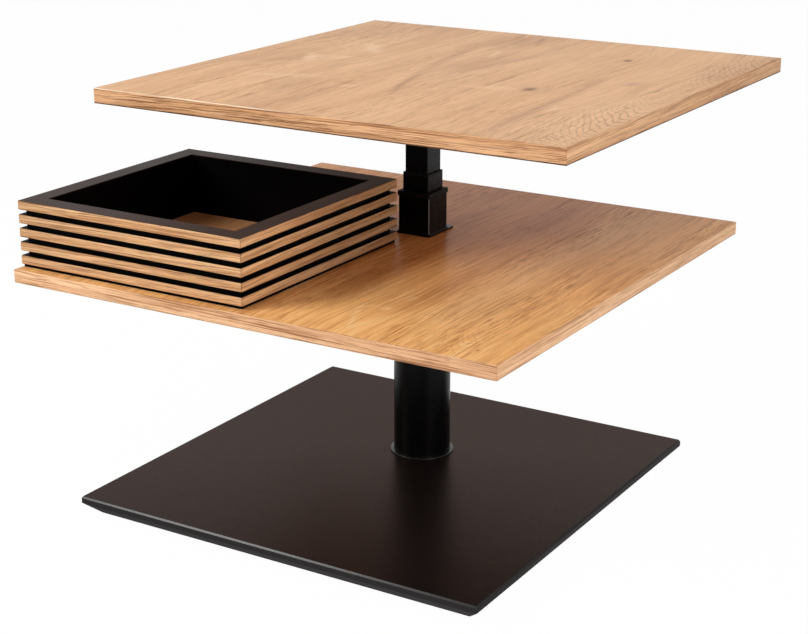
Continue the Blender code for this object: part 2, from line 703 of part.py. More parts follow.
def build_inner_stage(parent, finishes):
    """Inner tube with its lever notch, its lower guide and the block that holds the gas spring's rod."""
    bottom = INNER_TUBE_TOP - INNER_TUBE_LENGTH
    tube = add_object("inner_tube",
                      square_tube(INNER_TUBE_SIDE, INNER_TUBE_WALL, 0, INNER_TUBE_LENGTH),
                      [finishes["black_powder"]], parent, (0, 0, bottom))
    notch_half = LEVER_SLOT_WIDTH / 2
    notch = prism([
        (-notch_half, -LEVER_NOTCH_DEPTH),
        (notch_half, -LEVER_NOTCH_DEPTH),
        (notch_half, CLEARANCE),
        (-notch_half, CLEARANCE),
    ], INNER_TUBE_WALL + 2 * CLEARANCE, "Y")
    tool = add_object("inner_tube_notch", notch, [], parent,
                      (0, (INNER_TUBE_SIDE - INNER_TUBE_WALL) / 2, INNER_TUBE_TOP))
    combine(tube, tool, "DIFFERENCE")

    bore = INNER_TUBE_BORE / 2 - CLEARANCE
    passage = GAS_CYLINDER_DIAMETER / 2 + 2 * CLEARANCE
    lip = INNER_TUBE_SIDE / 2
    guide = skin([
        square(lip, TUBE_CORNER, 0),
        square(lip, TUBE_CORNER, GUIDE_LIP),
        square(bore, TUBE_CORNER / 2, GUIDE_LIP),
        square(bore, TUBE_CORNER / 2, GUIDE_HEIGHT),
        near_circle(passage, GUIDE_HEIGHT),
        near_circle(passage, 0),
    ], ring=True)
    add_object("inner_guide", guide, [finishes["black_plastic"]], parent,
               (0, 0, bottom - CLEARANCE - GUIDE_LIP))

    hole = GAS_ROD_NECK / 2 + CLEARANCE
    block = skin([
        square(bore, TUBE_CORNER / 2, 0),
        square(bore, TUBE_CORNER / 2, RELEASE_HEAD_HEIGHT),
        near_circle(hole, RELEASE_HEAD_HEIGHT),
        near_circle(hole, 0),
    ], ring=True)
    add_object("release_head", block, [finishes["bright_steel"]], parent,
               (0, 0, RELEASE_HEAD_BOTTOM))


def build_gas_cylinder(parent, finishes):
    """Gas spring's cylinder, on a stud in the foot flange, with its bore and rod guide."""
    radius = GAS_CYLINDER_DIAMETER / 2
    bore = radius - GAS_CYLINDER_WALL
    neck = GAS_ROD_DIAMETER / 2 + CLEARANCE
    stud = GAS_STUD_DIAMETER / 2
    length = GAS_CYLINDER_LENGTH
    cylinder = turned([
        (neck, length),
        (radius - GAS_CYLINDER_WALL, length),
        (radius, length - GAS_CYLINDER_WALL),
        (radius, 0),
        (stud, 0),
        (stud, -FOOT_FLANGE_HEIGHT),
        (0, -FOOT_FLANGE_HEIGHT),
        (0, GAS_FLOOR),
        (bore, GAS_FLOOR),
        (bore, length - GAS_GLAND),
        (neck, length - GAS_GLAND),
    ], SMALL_TURN_STEPS, ring=True)
    add_object("gas_cylinder", cylinder, [finishes["black_powder"]], parent,
               (0, 0, FOOT_FLANGE_TOP + CLEARANCE))


def build_gas_rod(parent, finishes):
    """Gas spring's rod: piston below, necked end through the release head, bored for the valve pin."""
    rod = GAS_ROD_DIAMETER / 2
    piston = GAS_CYLINDER_DIAMETER / 2 - GAS_CYLINDER_WALL - CLEARANCE
    neck = GAS_ROD_NECK / 2
    bore = VALVE_PIN_DIAMETER / 2 + CLEARANCE
    shoulder = -RELEASE_HEAD_HEIGHT - CLEARANCE
    bottom = shoulder - GAS_ROD_LENGTH
    shape = turned([
        (bore, 0),
        (neck, 0),
        (neck, shoulder),
        (rod, shoulder),
        (rod, bottom + GAS_PISTON_HEIGHT),
        (piston, bottom + GAS_PISTON_HEIGHT),
        (piston, bottom),
        (0, bottom),
        (0, -VALVE_BORE_DEPTH),
        (bore, -VALVE_BORE_DEPTH),
    ], SMALL_TURN_STEPS, ring=True)
    add_object("gas_rod", shape, [finishes["bright_steel"]], parent, (0, 0, RELEASE_HEAD_TOP))


# Head of the lift

def race(groove_up):
    """Flat bearing ring, 0 to its height, with a groove for the balls on one face."""
    outer = RACE_DIAMETER / 2
    inner = outer - RACE_WIDTH
    mouth = BALL_DIAMETER / 2 + CLEARANCE
    bed = mouth - RACE_GROOVE_DEPTH
    profile = [
        (outer, RACE_HEIGHT),
        (outer, 0),
        (inner, 0),
        (inner, RACE_HEIGHT),
        (BALL_RADIUS_OF_RACE - mouth, RACE_HEIGHT),
        (BALL_RADIUS_OF_RACE - bed, RACE_HEIGHT - RACE_GROOVE_DEPTH),
        (BALL_RADIUS_OF_RACE + bed, RACE_HEIGHT - RACE_GROOVE_DEPTH),
        (BALL_RADIUS_OF_RACE + mouth, RACE_HEIGHT),
    ]
    if not groove_up:
        profile = [(radius, RACE_HEIGHT - z) for radius, z in profile]
    return turned(profile, ring=True)


def build_swivel(fixed, turning, finishes):
    """Swivel bearing: head plate, two grooved races, caged balls, bolt and nut."""
    steel = finishes["bright_steel"]
    head = add_object("head_plate", plate(HEAD_PLATE_SIDE, HEAD_PLATE_CORNER, HEAD_PLATE_HEIGHT),
                      [steel], fixed, (0, 0, HEAD_PLATE_TOP - HEAD_PLATE_HEIGHT))
    hole = cylinders(SWIVEL_BOLT_DIAMETER / 2 + CLEARANCE, -CLEARANCE,
                     HEAD_PLATE_HEIGHT + CLEARANCE, [(0, 0)])
    tool = add_object("head_plate_hole", hole, [], fixed,
                      (0, 0, HEAD_PLATE_TOP - HEAD_PLATE_HEIGHT))
    combine(head, tool, "DIFFERENCE")

    add_object("swivel_lower_race", race(True), [steel], fixed,
               (0, 0, LOWER_RACE_TOP - RACE_HEIGHT))
    add_object("swivel_upper_race", race(False), [steel], turning,
               (0, 0, UPPER_RACE_TOP - RACE_HEIGHT))

    level = LOWER_RACE_TOP + RACE_SPACE / 2
    cage = turned([
        (BALL_RADIUS_OF_RACE + CAGE_WIDTH / 2, CAGE_HEIGHT / 2),
        (BALL_RADIUS_OF_RACE + CAGE_WIDTH / 2, -CAGE_HEIGHT / 2),
        (BALL_RADIUS_OF_RACE - CAGE_WIDTH / 2, -CAGE_HEIGHT / 2),
        (BALL_RADIUS_OF_RACE - CAGE_WIDTH / 2, CAGE_HEIGHT / 2),
    ], ring=True)
    ring = add_object("swivel_ball_ring", cage, [steel], fixed, (0, 0, level))
    balls = bmesh.new()
    for index in range(BALL_COUNT):
        angle = 2 * math.pi * index / BALL_COUNT
        place = Matrix.Translation((BALL_RADIUS_OF_RACE * math.cos(angle),
                                    BALL_RADIUS_OF_RACE * math.sin(angle), 0))
        bmesh.ops.create_uvsphere(balls, u_segments=BALL_SIDES, v_segments=BALL_BANDS,
                                  radius=BALL_DIAMETER / 2, matrix=place)
    ball_tool = add_object("swivel_balls", balls, [], fixed, (0, 0, level))
    combine(ring, ball_tool, "UNION")

    shank = SWIVEL_BOLT_DIAMETER / 2
    cap = SWIVEL_BOLT_HEAD / 2
    reach = HEAD_PLATE_TOP - HEAD_PLATE_HEIGHT - 2 * CLEARANCE - SWIVEL_NUT_HEIGHT - TOP_PLATE_TOP
    bolt = turned([
        (0, 0),
        (cap, 0),
        (shank, shank - cap),
        (shank, reach),
        (0, reach),
    ], SMALL_TURN_STEPS)
    add_object("swivel_bolt", bolt, [steel], fixed, (0, 0, TOP_PLATE_TOP))

    nut_top = HEAD_PLATE_TOP - HEAD_PLATE_HEIGHT - CLEARANCE
    nut_place = (0, 0, nut_top - SWIVEL_NUT_HEIGHT)
    hexagon = cylinders(SWIVEL_NUT_WIDTH / math.sqrt(3), 0, SWIVEL_NUT_HEIGHT, [(0, 0)], steps=6)
    nut = add_object("swivel_nut", hexagon, [steel], fixed, nut_place)
    thread = cylinders(shank + CLEARANCE, -CLEARANCE, SWIVEL_NUT_HEIGHT + CLEARANCE, [(0, 0)])
    nut_tool = add_object("swivel_nut_hole", thread, [], fixed, nut_place)
    combine(nut, nut_tool, "DIFFERENCE")


def cross_hole(name, radius, length, parent):
    """Hidden cylinder along X on the lever's pivot, used to bore pieces for its pin."""
    shape = bmesh.new()
    turn = Matrix.Rotation(math.pi / 2, 4, "Y")
    bmesh.ops.create_cone(shape, cap_ends=True, segments=SMALL_TURN_STEPS, radius1=radius,
                          radius2=radius, depth=length, matrix=turn)
    return add_object(name, shape, [], parent, (0, LEVER_PIVOT_Y, LEVER_LEVEL))


def build_bracket(parent, finishes):
    """U-shaped bracket under the head plate, with the pin that the release lever turns on."""
    inside = LEVER_SLOT_WIDTH / 2
    outside = inside + BRACKET_WALL
    web = -BRACKET_WALL
    bracket = prism([
        (-outside, 0),
        (-outside, -BRACKET_HEIGHT),
        (-inside, -BRACKET_HEIGHT),
        (-inside, web),
        (inside, web),
        (inside, -BRACKET_HEIGHT),
        (outside, -BRACKET_HEIGHT),
        (outside, 0),
    ], BRACKET_DEPTH, "Y")
    piece = add_object("lever_bracket", bracket, [finishes["bright_steel"]], parent,
                       (0, LEVER_PIVOT_Y, INNER_TUBE_TOP))
    width = 2 * outside + 2 * BRACKET_WALL
    combine(piece, cross_hole("bracket_bore", LEVER_PIN_DIAMETER / 2 + PIN_CLEARANCE, width, parent),
            "DIFFERENCE")

    pin = bmesh.new()
    turn = Matrix.Rotation(math.pi / 2, 4, "Y")
    bmesh.ops.create_cone(pin, cap_ends=True, segments=SMALL_TURN_STEPS, depth=2 * outside,
                          radius1=LEVER_PIN_DIAMETER / 2, radius2=LEVER_PIN_DIAMETER / 2, matrix=turn)
    add_object("lever_pin", pin, [finishes["bright_steel"]], parent, (0, LEVER_PIVOT_Y, LEVER_LEVEL))


def lever_outline(start, end):
    """Side view of the lever as (y, z) points: a flat bar with a round hub on its pivot."""
    half_height = LEVER_THICKNESS / 2
    join = math.asin(half_height / LEVER_HUB_RADIUS)
    points = [(start, half_height), (start, -half_height)]
    for first in (math.pi + join, join):
        for step in range(HUB_STEPS + 1):
            angle = first + (math.pi - 2 * join) * step / HUB_STEPS
            points.append((LEVER_HUB_RADIUS * math.cos(angle), LEVER_HUB_RADIUS * math.sin(angle)))
        if first > math.pi:
            points.append((end, -half_height))
            points.append((end, half_height))
    return points


def build_lever(parent, finishes):
    """Flat release lever, from over the valve pin to a moulded grip behind the column."""
    start = -LEVER_PIVOT_Y - LEVER_TAIL
    end = LEVER_REACH
    half_width = LEVER_WIDTH / 2
    half_height = LEVER_THICKNESS / 2
    bar = prism(lever_outline(start, end), LEVER_WIDTH, "X")
    lever = add_object("release_lever", bar, [finishes["bright_steel"]], parent,
                       (0, LEVER_PIVOT_Y, LEVER_LEVEL))
    edge = lever.modifiers.new("edge", "BEVEL")
    edge.width = LEVER_EDGE
    edge.segments = 1
    edge.limit_method = "ANGLE"
    edge.angle_limit = BEVEL_ANGLE
    combine(lever, cross_hole("lever_bore", LEVER_PIN_DIAMETER / 2 + PIN_CLEARANCE,
                              2 * LEVER_WIDTH, parent), "DIFFERENCE")

    socket_x = half_width + CLEARANCE
    socket_z = half_height + CLEARANCE
    grip_x = half_width + GRIP_WALL
    grip_z = half_height + GRIP_WALL
    mouth = end - GRIP_COVER
    tip = mouth + GRIP_LENGTH
    floor = end + CLEARANCE
    loops = [
        grip_loop(grip_x - GRIP_CORNER / 2, grip_z - GRIP_CORNER / 2, mouth),
        grip_loop(grip_x, grip_z, mouth + GRIP_CORNER),
        grip_loop(grip_x, grip_z, tip - GRIP_CORNER),
        grip_loop(grip_x - GRIP_CORNER / 2, grip_z - GRIP_CORNER / 2, tip),
    ]
    grip = add_object("lever_grip", skin(loops), [finishes["black_plastic"]], parent,
                      (0, LEVER_PIVOT_Y, LEVER_LEVEL))
    socket_length = floor - mouth + CLEARANCE
    socket = prism([
        (-socket_x, -socket_z),
        (socket_x, -socket_z),
        (socket_x, socket_z),
        (-socket_x, socket_z),
    ], socket_length, "Y")
    tool = add_object("grip_socket", socket, [], parent,
                      (0, LEVER_PIVOT_Y + floor - socket_length / 2, LEVER_LEVEL))
    combine(grip, tool, "DIFFERENCE")


def grip_loop(half_x, half_z, y):
    """Upright outline with round corners, across the lever at distance y from its pivot."""
    flat = outline(half_x, half_z, GRIP_CORNER - CLEARANCE, 0)
    return [(x, y, z) for x, z, _ in flat]


def build_valve_pin(parent, finishes):
    """Valve pin on top of the gas spring's rod, pressed by the lever's tail."""
    radius = VALVE_PIN_DIAMETER / 2
    pin = turned([
        (0, 0),
        (radius, 0),
        (radius, -VALVE_PIN_LENGTH),
        (0, -VALVE_PIN_LENGTH),
    ], SMALL_TURN_STEPS)
    add_object("valve_pin", pin, [finishes["bright_steel"]], parent, (0, 0, VALVE_PIN_TOP))


# Slatted box

def comb_profile():
    """Section of a box wall as (depth, height): slats and grooves on its outer face."""
    top = BOX_SLAT_COUNT * BOX_SLAT_HEIGHT + (BOX_SLAT_COUNT - 1) * BOX_GROOVE_HEIGHT
    points = [(BOX_WALL, 0), (BOX_WALL, top)]
    for index in reversed(range(BOX_SLAT_COUNT)):
        low = index * BOX_PITCH
        points.append((0, low + BOX_SLAT_HEIGHT))
        points.append((0, low))
        if index:
            points.append((BOX_GROOVE_DEPTH, low))
            points.append((BOX_GROOVE_DEPTH, low - BOX_GROOVE_HEIGHT))
    return points


def grooved_wall(side):
    """Wall along X with mitred ends, its slat faces at y = 0. Slat faces take the first material."""
    shape = bmesh.new()
    mitre = CLEARANCE / math.sqrt(2)
    profile = comb_profile()
    ends = []
    for sign in (-1, 1):
        ends.append([shape.verts.new((sign * (side / 2 - depth - mitre), depth, z))
                     for depth, z in profile])
    caps = [shape.faces.new(ends[0]), shape.faces.new(ends[1])]
    for cap in caps:
        cap.material_index = 1
    count = len(profile)
    for index in range(count):
        after = (index + 1) % count
        face = shape.faces.new((ends[0][index], ends[0][after], ends[1][after], ends[1][index]))
        on_slat = profile[index][0] == 0 and profile[after][0] == 0
        face.material_index = 0 if on_slat else 1
    return shape


def build_box(parent, finishes):
    """Loose open box: four grooved walls on a thin floor with felt pads."""
    half = BOX_SIDE / 2
    for quarter, name in enumerate(SIDES):
        turn = quarter * math.pi / 2
        x = BOX_X + half * math.sin(turn)
        y = BOX_Y - half * math.cos(turn)
        add_object(f"box_wall_{name}", grooved_wall(BOX_SIDE),
                   [finishes["golden_oak"], finishes["black_core"]], parent,
                   (x, y, BOX_WALL_BOTTOM), turn)
    floor_half = half - BOX_GROOVE_DEPTH
    floor = skin([
        square(floor_half, EDGE_ROUND, 0),
        square(floor_half, EDGE_ROUND, BOX_FLOOR_THICKNESS),
    ])
    add_object("box_floor", floor, [finishes["golden_oak"]], parent,
               (BOX_X, BOX_Y, BOX_FLOOR_BOTTOM))
    for name, x, y in corner_places(floor_half - BOX_PAD_INSET):
        pad = turned([
            (0, BOX_PAD_HEIGHT),
            (BOX_PAD_DIAMETER / 2, BOX_PAD_HEIGHT),
            (BOX_PAD_DIAMETER / 2, 0),
            (0, 0),
        ], SMALL_TURN_STEPS)
        add_object(f"box_pad_{name}", pad, [finishes["dark_felt"]], parent,
                   (BOX_X + x, BOX_Y + y, BOX_PAD_BOTTOM))


def main():
    """Build the whole table, each moving group under an empty on its joint's axis."""
    clear_scene()
    finishes = make_finishes()
    stand = axis_empty("stand", 0, 0, 0)
    middle = axis_empty("middle_stage", 0, 0, MIDDLE_TOP)
    lift = axis_empty("lift_stage", 0, 0, INNER_TUBE_TOP)
    swivel = axis_empty("swivel_axis", 0, 0, TOP_BOTTOM)
    lever = axis_empty("lever_pivot", 0, LEVER_PIVOT_Y, LEVER_LEVEL)
    valve = axis_empty("valve_axis", 0, 0, VALVE_PIN_TOP)
    box = axis_empty("box_place", BOX_X, BOX_Y, BOX_PAD_BOTTOM)
    build_base(stand, finishes)
    build_shelf(stand, finishes)
    build_column(stand, finishes)
    build_outer_stage(stand, finishes)
    build_gas_cylinder(stand, finishes)
    build_middle_stage(middle, finishes)
    build_inner_stage(lift, finishes)
    build_gas_rod(lift, finishes)
    build_swivel(lift, swivel, finishes)
    build_bracket(lift, finishes)
    build_lever(lever, finishes)
    build_valve_pin(valve, finishes)
    build_top(swivel, finishes)
    build_box(box, finishes)


main()
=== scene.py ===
"""Looks of a height-adjustable coffee table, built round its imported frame.

Two square oak boards stand on a black column, and a loose slatted box lies on the lower one.
"""

import logging
import math
from dataclasses import dataclass, field, replace
from enum import Enum
from functools import partial
from typing import Any, List, Mapping, Optional, Sequence, Tuple, Union

import bmesh
import bpy
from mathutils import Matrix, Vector


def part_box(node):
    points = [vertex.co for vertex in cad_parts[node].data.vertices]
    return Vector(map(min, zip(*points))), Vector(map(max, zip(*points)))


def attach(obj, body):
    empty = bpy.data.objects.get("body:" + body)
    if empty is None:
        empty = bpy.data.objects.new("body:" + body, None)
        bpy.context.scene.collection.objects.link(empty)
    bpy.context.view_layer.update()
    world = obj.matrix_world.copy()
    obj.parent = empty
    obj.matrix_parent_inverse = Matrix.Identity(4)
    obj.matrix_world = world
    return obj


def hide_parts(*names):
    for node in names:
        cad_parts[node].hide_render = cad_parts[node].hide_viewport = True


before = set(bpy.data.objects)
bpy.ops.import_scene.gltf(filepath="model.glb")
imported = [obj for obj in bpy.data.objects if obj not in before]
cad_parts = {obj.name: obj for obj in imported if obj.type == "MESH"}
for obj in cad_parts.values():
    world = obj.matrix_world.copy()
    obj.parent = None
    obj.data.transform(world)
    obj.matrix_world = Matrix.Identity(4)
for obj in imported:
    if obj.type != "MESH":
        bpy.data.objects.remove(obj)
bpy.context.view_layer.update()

LOG = logging.getLogger("coffee_table")
IMAGE_SIZE = (808, 634)
SHARP_ANGLE = math.radians(38)

Colour = Tuple[float, float, float, float]
Tones = Tuple[Colour, Colour, Colour]
Point = Tuple[float, float, float]
Pair = Tuple[float, float]
Fade = Tuple[float, float, float]
Value = Union["Sock", float]
Loop = List[Point]
Outline = List[Pair]

WHITE: Colour = (1.0, 1.0, 1.0, 1.0)
# Colour of the painted highlight along a band's upper edge.
ARRIS_HIGHLIGHT_COLOUR: Colour = (1.0, 0.86, 0.66, 1.0)
NO_END_DARKENING: Fade = (0.0, 0.0, 1.0)
MIX_FIRST, MIX_SECOND, MIX_RESULT = 6, 7, 2


class Body(Enum):
    """The bodies of the frame that added pieces ride on."""

    STAND = "stand"
    INNER = "inner_stage"
    TOP = "top"
    BOX = "box"


class Slot(Enum):
    """Names of material slots; each added piece is given one, which add does not use."""

    LIGHT_OAK = "light_oak"
    GOLDEN_OAK = "golden_oak"
    BOX_OAK = "box_oak"
    BLACK_BOARD = "black_board"
    BLACK_POWDER = "black_powder"
    BLACK_PLASTIC = "black_plastic"
    BRIGHT_STEEL = "bright_steel"


class Side(Enum):
    """The four sides of a square piece, each with its quarter turns from the front."""

    FRONT = 0
    RIGHT = 1
    BACK = 2
    LEFT = 3

    @property
    def word(self) -> str:
        """The side's name as the frame spells it."""
        return self.name.lower()


def screen(red: int, green: int, blue: int) -> Colour:
    """Turns a screen colour into the linear colour that a shader takes.

    Args:
        red: Red from 0 to 255.
        green: Green from 0 to 255.
        blue: Blue from 0 to 255.

    Returns:
        The linear colour with full alpha.
    """
    steps = [value / 255 for value in (red, green, blue)]
    linear = [s / 12.92 if s <= 0.04045 else ((s + 0.055) / 1.055) ** 2.4 for s in steps]
    return (linear[0], linear[1], linear[2], 1.0)


class Sock:
    """An output socket that takes part in Python expressions."""

    def __init__(self, graph: "Graph", socket: bpy.types.NodeSocket) -> None:
        """Keeps the socket with the graph that new nodes go into."""
        self.graph = graph
        self.socket = socket

    def math(self, operation: str, *values: Value) -> "Sock":
        """Adds a Math node with these inputs and gives its result."""
        return self.graph.node("ShaderNodeMath", {"operation": operation}, dict(enumerate(values)))

    def __add__(self, other: Value) -> "Sock":
        """Gives this plus other."""
        return self.math("ADD", self, other)

    __radd__ = __add__

    def __mul__(self, other: Value) -> "Sock":
        """Gives this times other."""
        return self.math("MULTIPLY", self, other)

    __rmul__ = __mul__

    def __sub__(self, other: Value) -> "Sock":
        """Gives this less other."""
        return self.math("SUBTRACT", self, other)

    def __rsub__(self, other: Value) -> "Sock":
        """Gives other less this."""
        return self.math("SUBTRACT", other, self)

    def __truediv__(self, other: Value) -> "Sock":
        """Gives this over other."""
        return self.math("DIVIDE", self, other)

    def __rtruediv__(self, other: Value) -> "Sock":
        """Gives other over this."""
        return self.math("DIVIDE", other, self)

    def root(self) -> "Sock":
        """Gives the square root."""
        return self.math("SQRT", self)

    def fract(self) -> "Sock":
        """Gives what is left above the whole number."""
        return self.math("FRACT", self)

    def size(self) -> "Sock":
        """Gives the value without its sign."""
        return self.math("ABSOLUTE", self)

    def exp(self) -> "Sock":
        """Gives e raised to this value."""
        return self.math("EXPONENT", self)

    def largest(self, other: Value) -> "Sock":
        """Gives the larger of this and other."""
        return self.math("MAXIMUM", self, other)

    def smallest(self, other: Value) -> "Sock":
        """Gives the smaller of this and other."""
        return self.math("MINIMUM", self, other)

    def smooth(self, low: float, high: float) -> "Sock":
        """Maps the value softly from 0 at low to 1 at high."""
        inputs = {"Value": self, "From Min": low, "From Max": high}
        return self.graph.node("ShaderNodeMapRange", {"interpolation_type": "SMOOTHSTEP"}, inputs)

    def sibling(self, name: str) -> "Sock":
        """Gives another output of the same node."""
        return Sock(self.graph, self.socket.node.outputs[name])


class Graph:
    """A node tree that is filled from Python expressions."""

    def __init__(self, tree: bpy.types.NodeTree) -> None:
        """Starts from an empty tree."""
        self.tree = tree
        tree.nodes.clear()

    def node(
        self,
        kind: str,
        settings: Optional[Mapping[str, Any]] = None,
        inputs: Optional[Mapping[Union[str, int], Any]] = None,
        output: Union[str, int] = 0,
    ) -> Sock:
        """Adds a node.

        Args:
            kind: The node's type.
            settings: Its properties, which are set first.
            inputs: Values or links for its sockets, by name or number.
            output: Which output is wanted.

        Returns:
            That output.
        """
        made = self.tree.nodes.new(kind)
        for name, value in (settings or {}).items():
            setattr(made, name, value)
        for name, value in (inputs or {}).items():
            if isinstance(value, Sock):
                self.tree.links.new(value.socket, made.inputs[name])
            else:
                made.inputs[name].default_value = value
        return Sock(self, made.outputs[output])

    def point(self) -> Sock:
        """Gives the surface point in the frame at rest."""
        return self.node("ShaderNodeTexCoord", output="Object")

    def place(self) -> Tuple[Sock, Sock, Sock]:
        """Gives the surface point's x, y and z."""
        x = self.node("ShaderNodeSeparateXYZ", inputs={0: self.point()})
        return x, x.sibling("Y"), x.sibling("Z")

    def vector(self, x: Value, y: Value, z: Value = 0.0) -> Sock:
        """Joins three values into a vector."""
        return self.node("ShaderNodeCombineXYZ", inputs={0: x, 1: y, 2: z})

    def noise(
        self, point: Sock, stretch: Point, detail: float = 2.0, rough: float = 0.5, twist: float = 0.0
    ) -> Sock:
        """Adds a noise texture.

        Args:
            point: Where it is read.
            stretch: Cells in a metre along each axis.
            detail: Octaves of finer noise.
            rough: Weight of the finer noise.
            twist: How far the noise distorts itself.

        Returns:
            The noise's value, about 0.5 in the middle.
        """
        scaled = self.node("ShaderNodeVectorMath", {"operation": "MULTIPLY"}, {0: point, 1: stretch})
        inputs = {"Vector": scaled, "Scale": 1.0, "Detail": detail, "Roughness": rough, "Distortion": twist}
        return self.node("ShaderNodeTexNoise", inputs=inputs)

    def mix(self, factor: Value, first: Any, second: Any) -> Sock:
        """Mixes two colours or their sockets: a factor of 0 gives the first, 1 the second."""
        inputs = {0: factor, MIX_FIRST: first, MIX_SECOND: second}
        return self.node("ShaderNodeMix", {"data_type": "RGBA", "clamp_factor": True}, inputs, MIX_RESULT)

    def tint(self, base: Any, *tints: Tuple[Value, Colour]) -> Any:
        """Lays tints over a colour.

        Args:
            base: The colour or its socket.
            tints: Masks with their colours, the lowest first.

        Returns:
            The tinted colour.
        """
        for mask, colour in tints:
            base = self.mix(mask, base, colour)
        return base

    def bump(self, height: Sock, depth: float, strength: float) -> Sock:
        """Turns a height into a normal, where a height of 1 stands for the depth in metres."""
        return self.node("ShaderNodeBump", inputs={"Strength": strength, "Distance": depth, "Height": height})

    def surface(
        self, colour: Sock, rough: Value, normal: Sock, specular: float, tint: Colour = WHITE,
        metal: float = 0.0,
    ) -> None:
        """Ends a material in a Principled shader.

        Args:
            colour: Its base colour.
            rough: Its roughness.
            normal: Its normal.
            specular: Its specular level.
            tint: The colour of its highlights.
            metal: 1 for a metal.
        """
        inputs = {"Base Color": colour, "Roughness": rough, "Normal": normal, "Metallic": metal}
        inputs.update({"Specular IOR Level": specular, "Specular Tint": tint})
        self.node_end("ShaderNodeOutputMaterial", self.node("ShaderNodeBsdfPrincipled", inputs=inputs))

    def node_end(self, kind: str, shader: Sock) -> None:
        """Links a shader to an output node."""
        made = self.tree.nodes.new(kind)
        self.tree.links.new(shader.socket, made.inputs["Surface"])


def even(cells: float) -> Point:
    """Gives the same stretch along all three axes."""
    return (cells, cells, cells)


@dataclass(frozen=True)
class Finish:
    """A surface finish, made into a material when it is first used."""

    name: str

    def material(self) -> bpy.types.Material:
        """Gives the finish's material.

        Returns:
            The material, which is wired once.
        """
        found = bpy.data.materials.get(self.name)
        if found is None:
            found = bpy.data.materials.new(self.name)
            found.use_nodes = True
            self.wire(Graph(found.node_tree))
        return found

    def wire(self, g: Graph) -> None:
        """Fills the material's node tree."""
        raise NotImplementedError


@dataclass(frozen=True)
class Knot:
    """A small knot in a veneer: its middle, its half lengths across and along the grain."""

    across: float
    along: float
    half_across: float
    half_along: float


@dataclass(frozen=True)
class Stroke:
    """A long soft mark in a veneer, from its lower end to its upper end."""

    low: Pair
    high: Pair
    half: float
    weight: float
    ease: float = 0.3

    def mask(self, across: Sock, along: Sock) -> Sock:
        """Gives the mark's strength at a point.

        Args:
            across: Where the point lies across the grain.
            along: Where it lies along the grain.

        Returns:
            The strength, 0 away from the mark.
        """
        rise = self.high[1] - self.low[1]
        slope = (self.high[0] - self.low[0]) / rise
        off = (across - along * slope - (self.low[0] - self.low[1] * slope)) / self.half
        fade = rise * self.ease
        begun = along.smooth(self.low[1] - fade, self.low[1] + fade)
        ended = along.smooth(self.high[1] - fade, self.high[1] + fade)
        return (off * off * -1.0).exp() * begun * (1 - ended) * self.weight


def strokes(*rows: Tuple[float, float, float, float, float, float]) -> Tuple[Stroke, ...]:
    """Makes marks from rows of both ends' places across and along, half width and weight."""
    return tuple(Stroke((x0, y0), (x1, y1), half, weight) for x0, y0, x1, y1, half, weight in rows)


@dataclass(frozen=True)
class Arches:
    """A patch of flat-cut arches that open along the grain."""

    heart: Pair
    half: Pair
    opens: float = 1.0
    spacing: float = 0.020
    arm: float = 0.009
    turn: float = 0.014
    darkens: Pair = (0.66, 0.86)
    clears: Pair = (0.88, 0.99)

    def lines(self, across: Sock, along: Sock, jag: Sock) -> Sock:
        """Gives the dark late wood of the arches.

        Args:
            across: Where the point lies across the grain.
            along: Where it lies along the grain.
            jag: A small noise that roughens the lines.

        Returns:
            The strength, 0 away from the patch.
        """
        off = across - self.heart[0]
        far = along - self.heart[1]
        bend = (off * off + self.turn ** 2).root() / self.arm
        phase = (far * (self.opens / self.spacing) - bend + jag).fract()
        line = phase.smooth(*self.darkens) * (1 - phase.smooth(*self.clears))
        near = (off * off * (-1 / self.half[0] ** 2) + far * far * (-1 / self.half[1] ** 2)).exp()
        return line * near


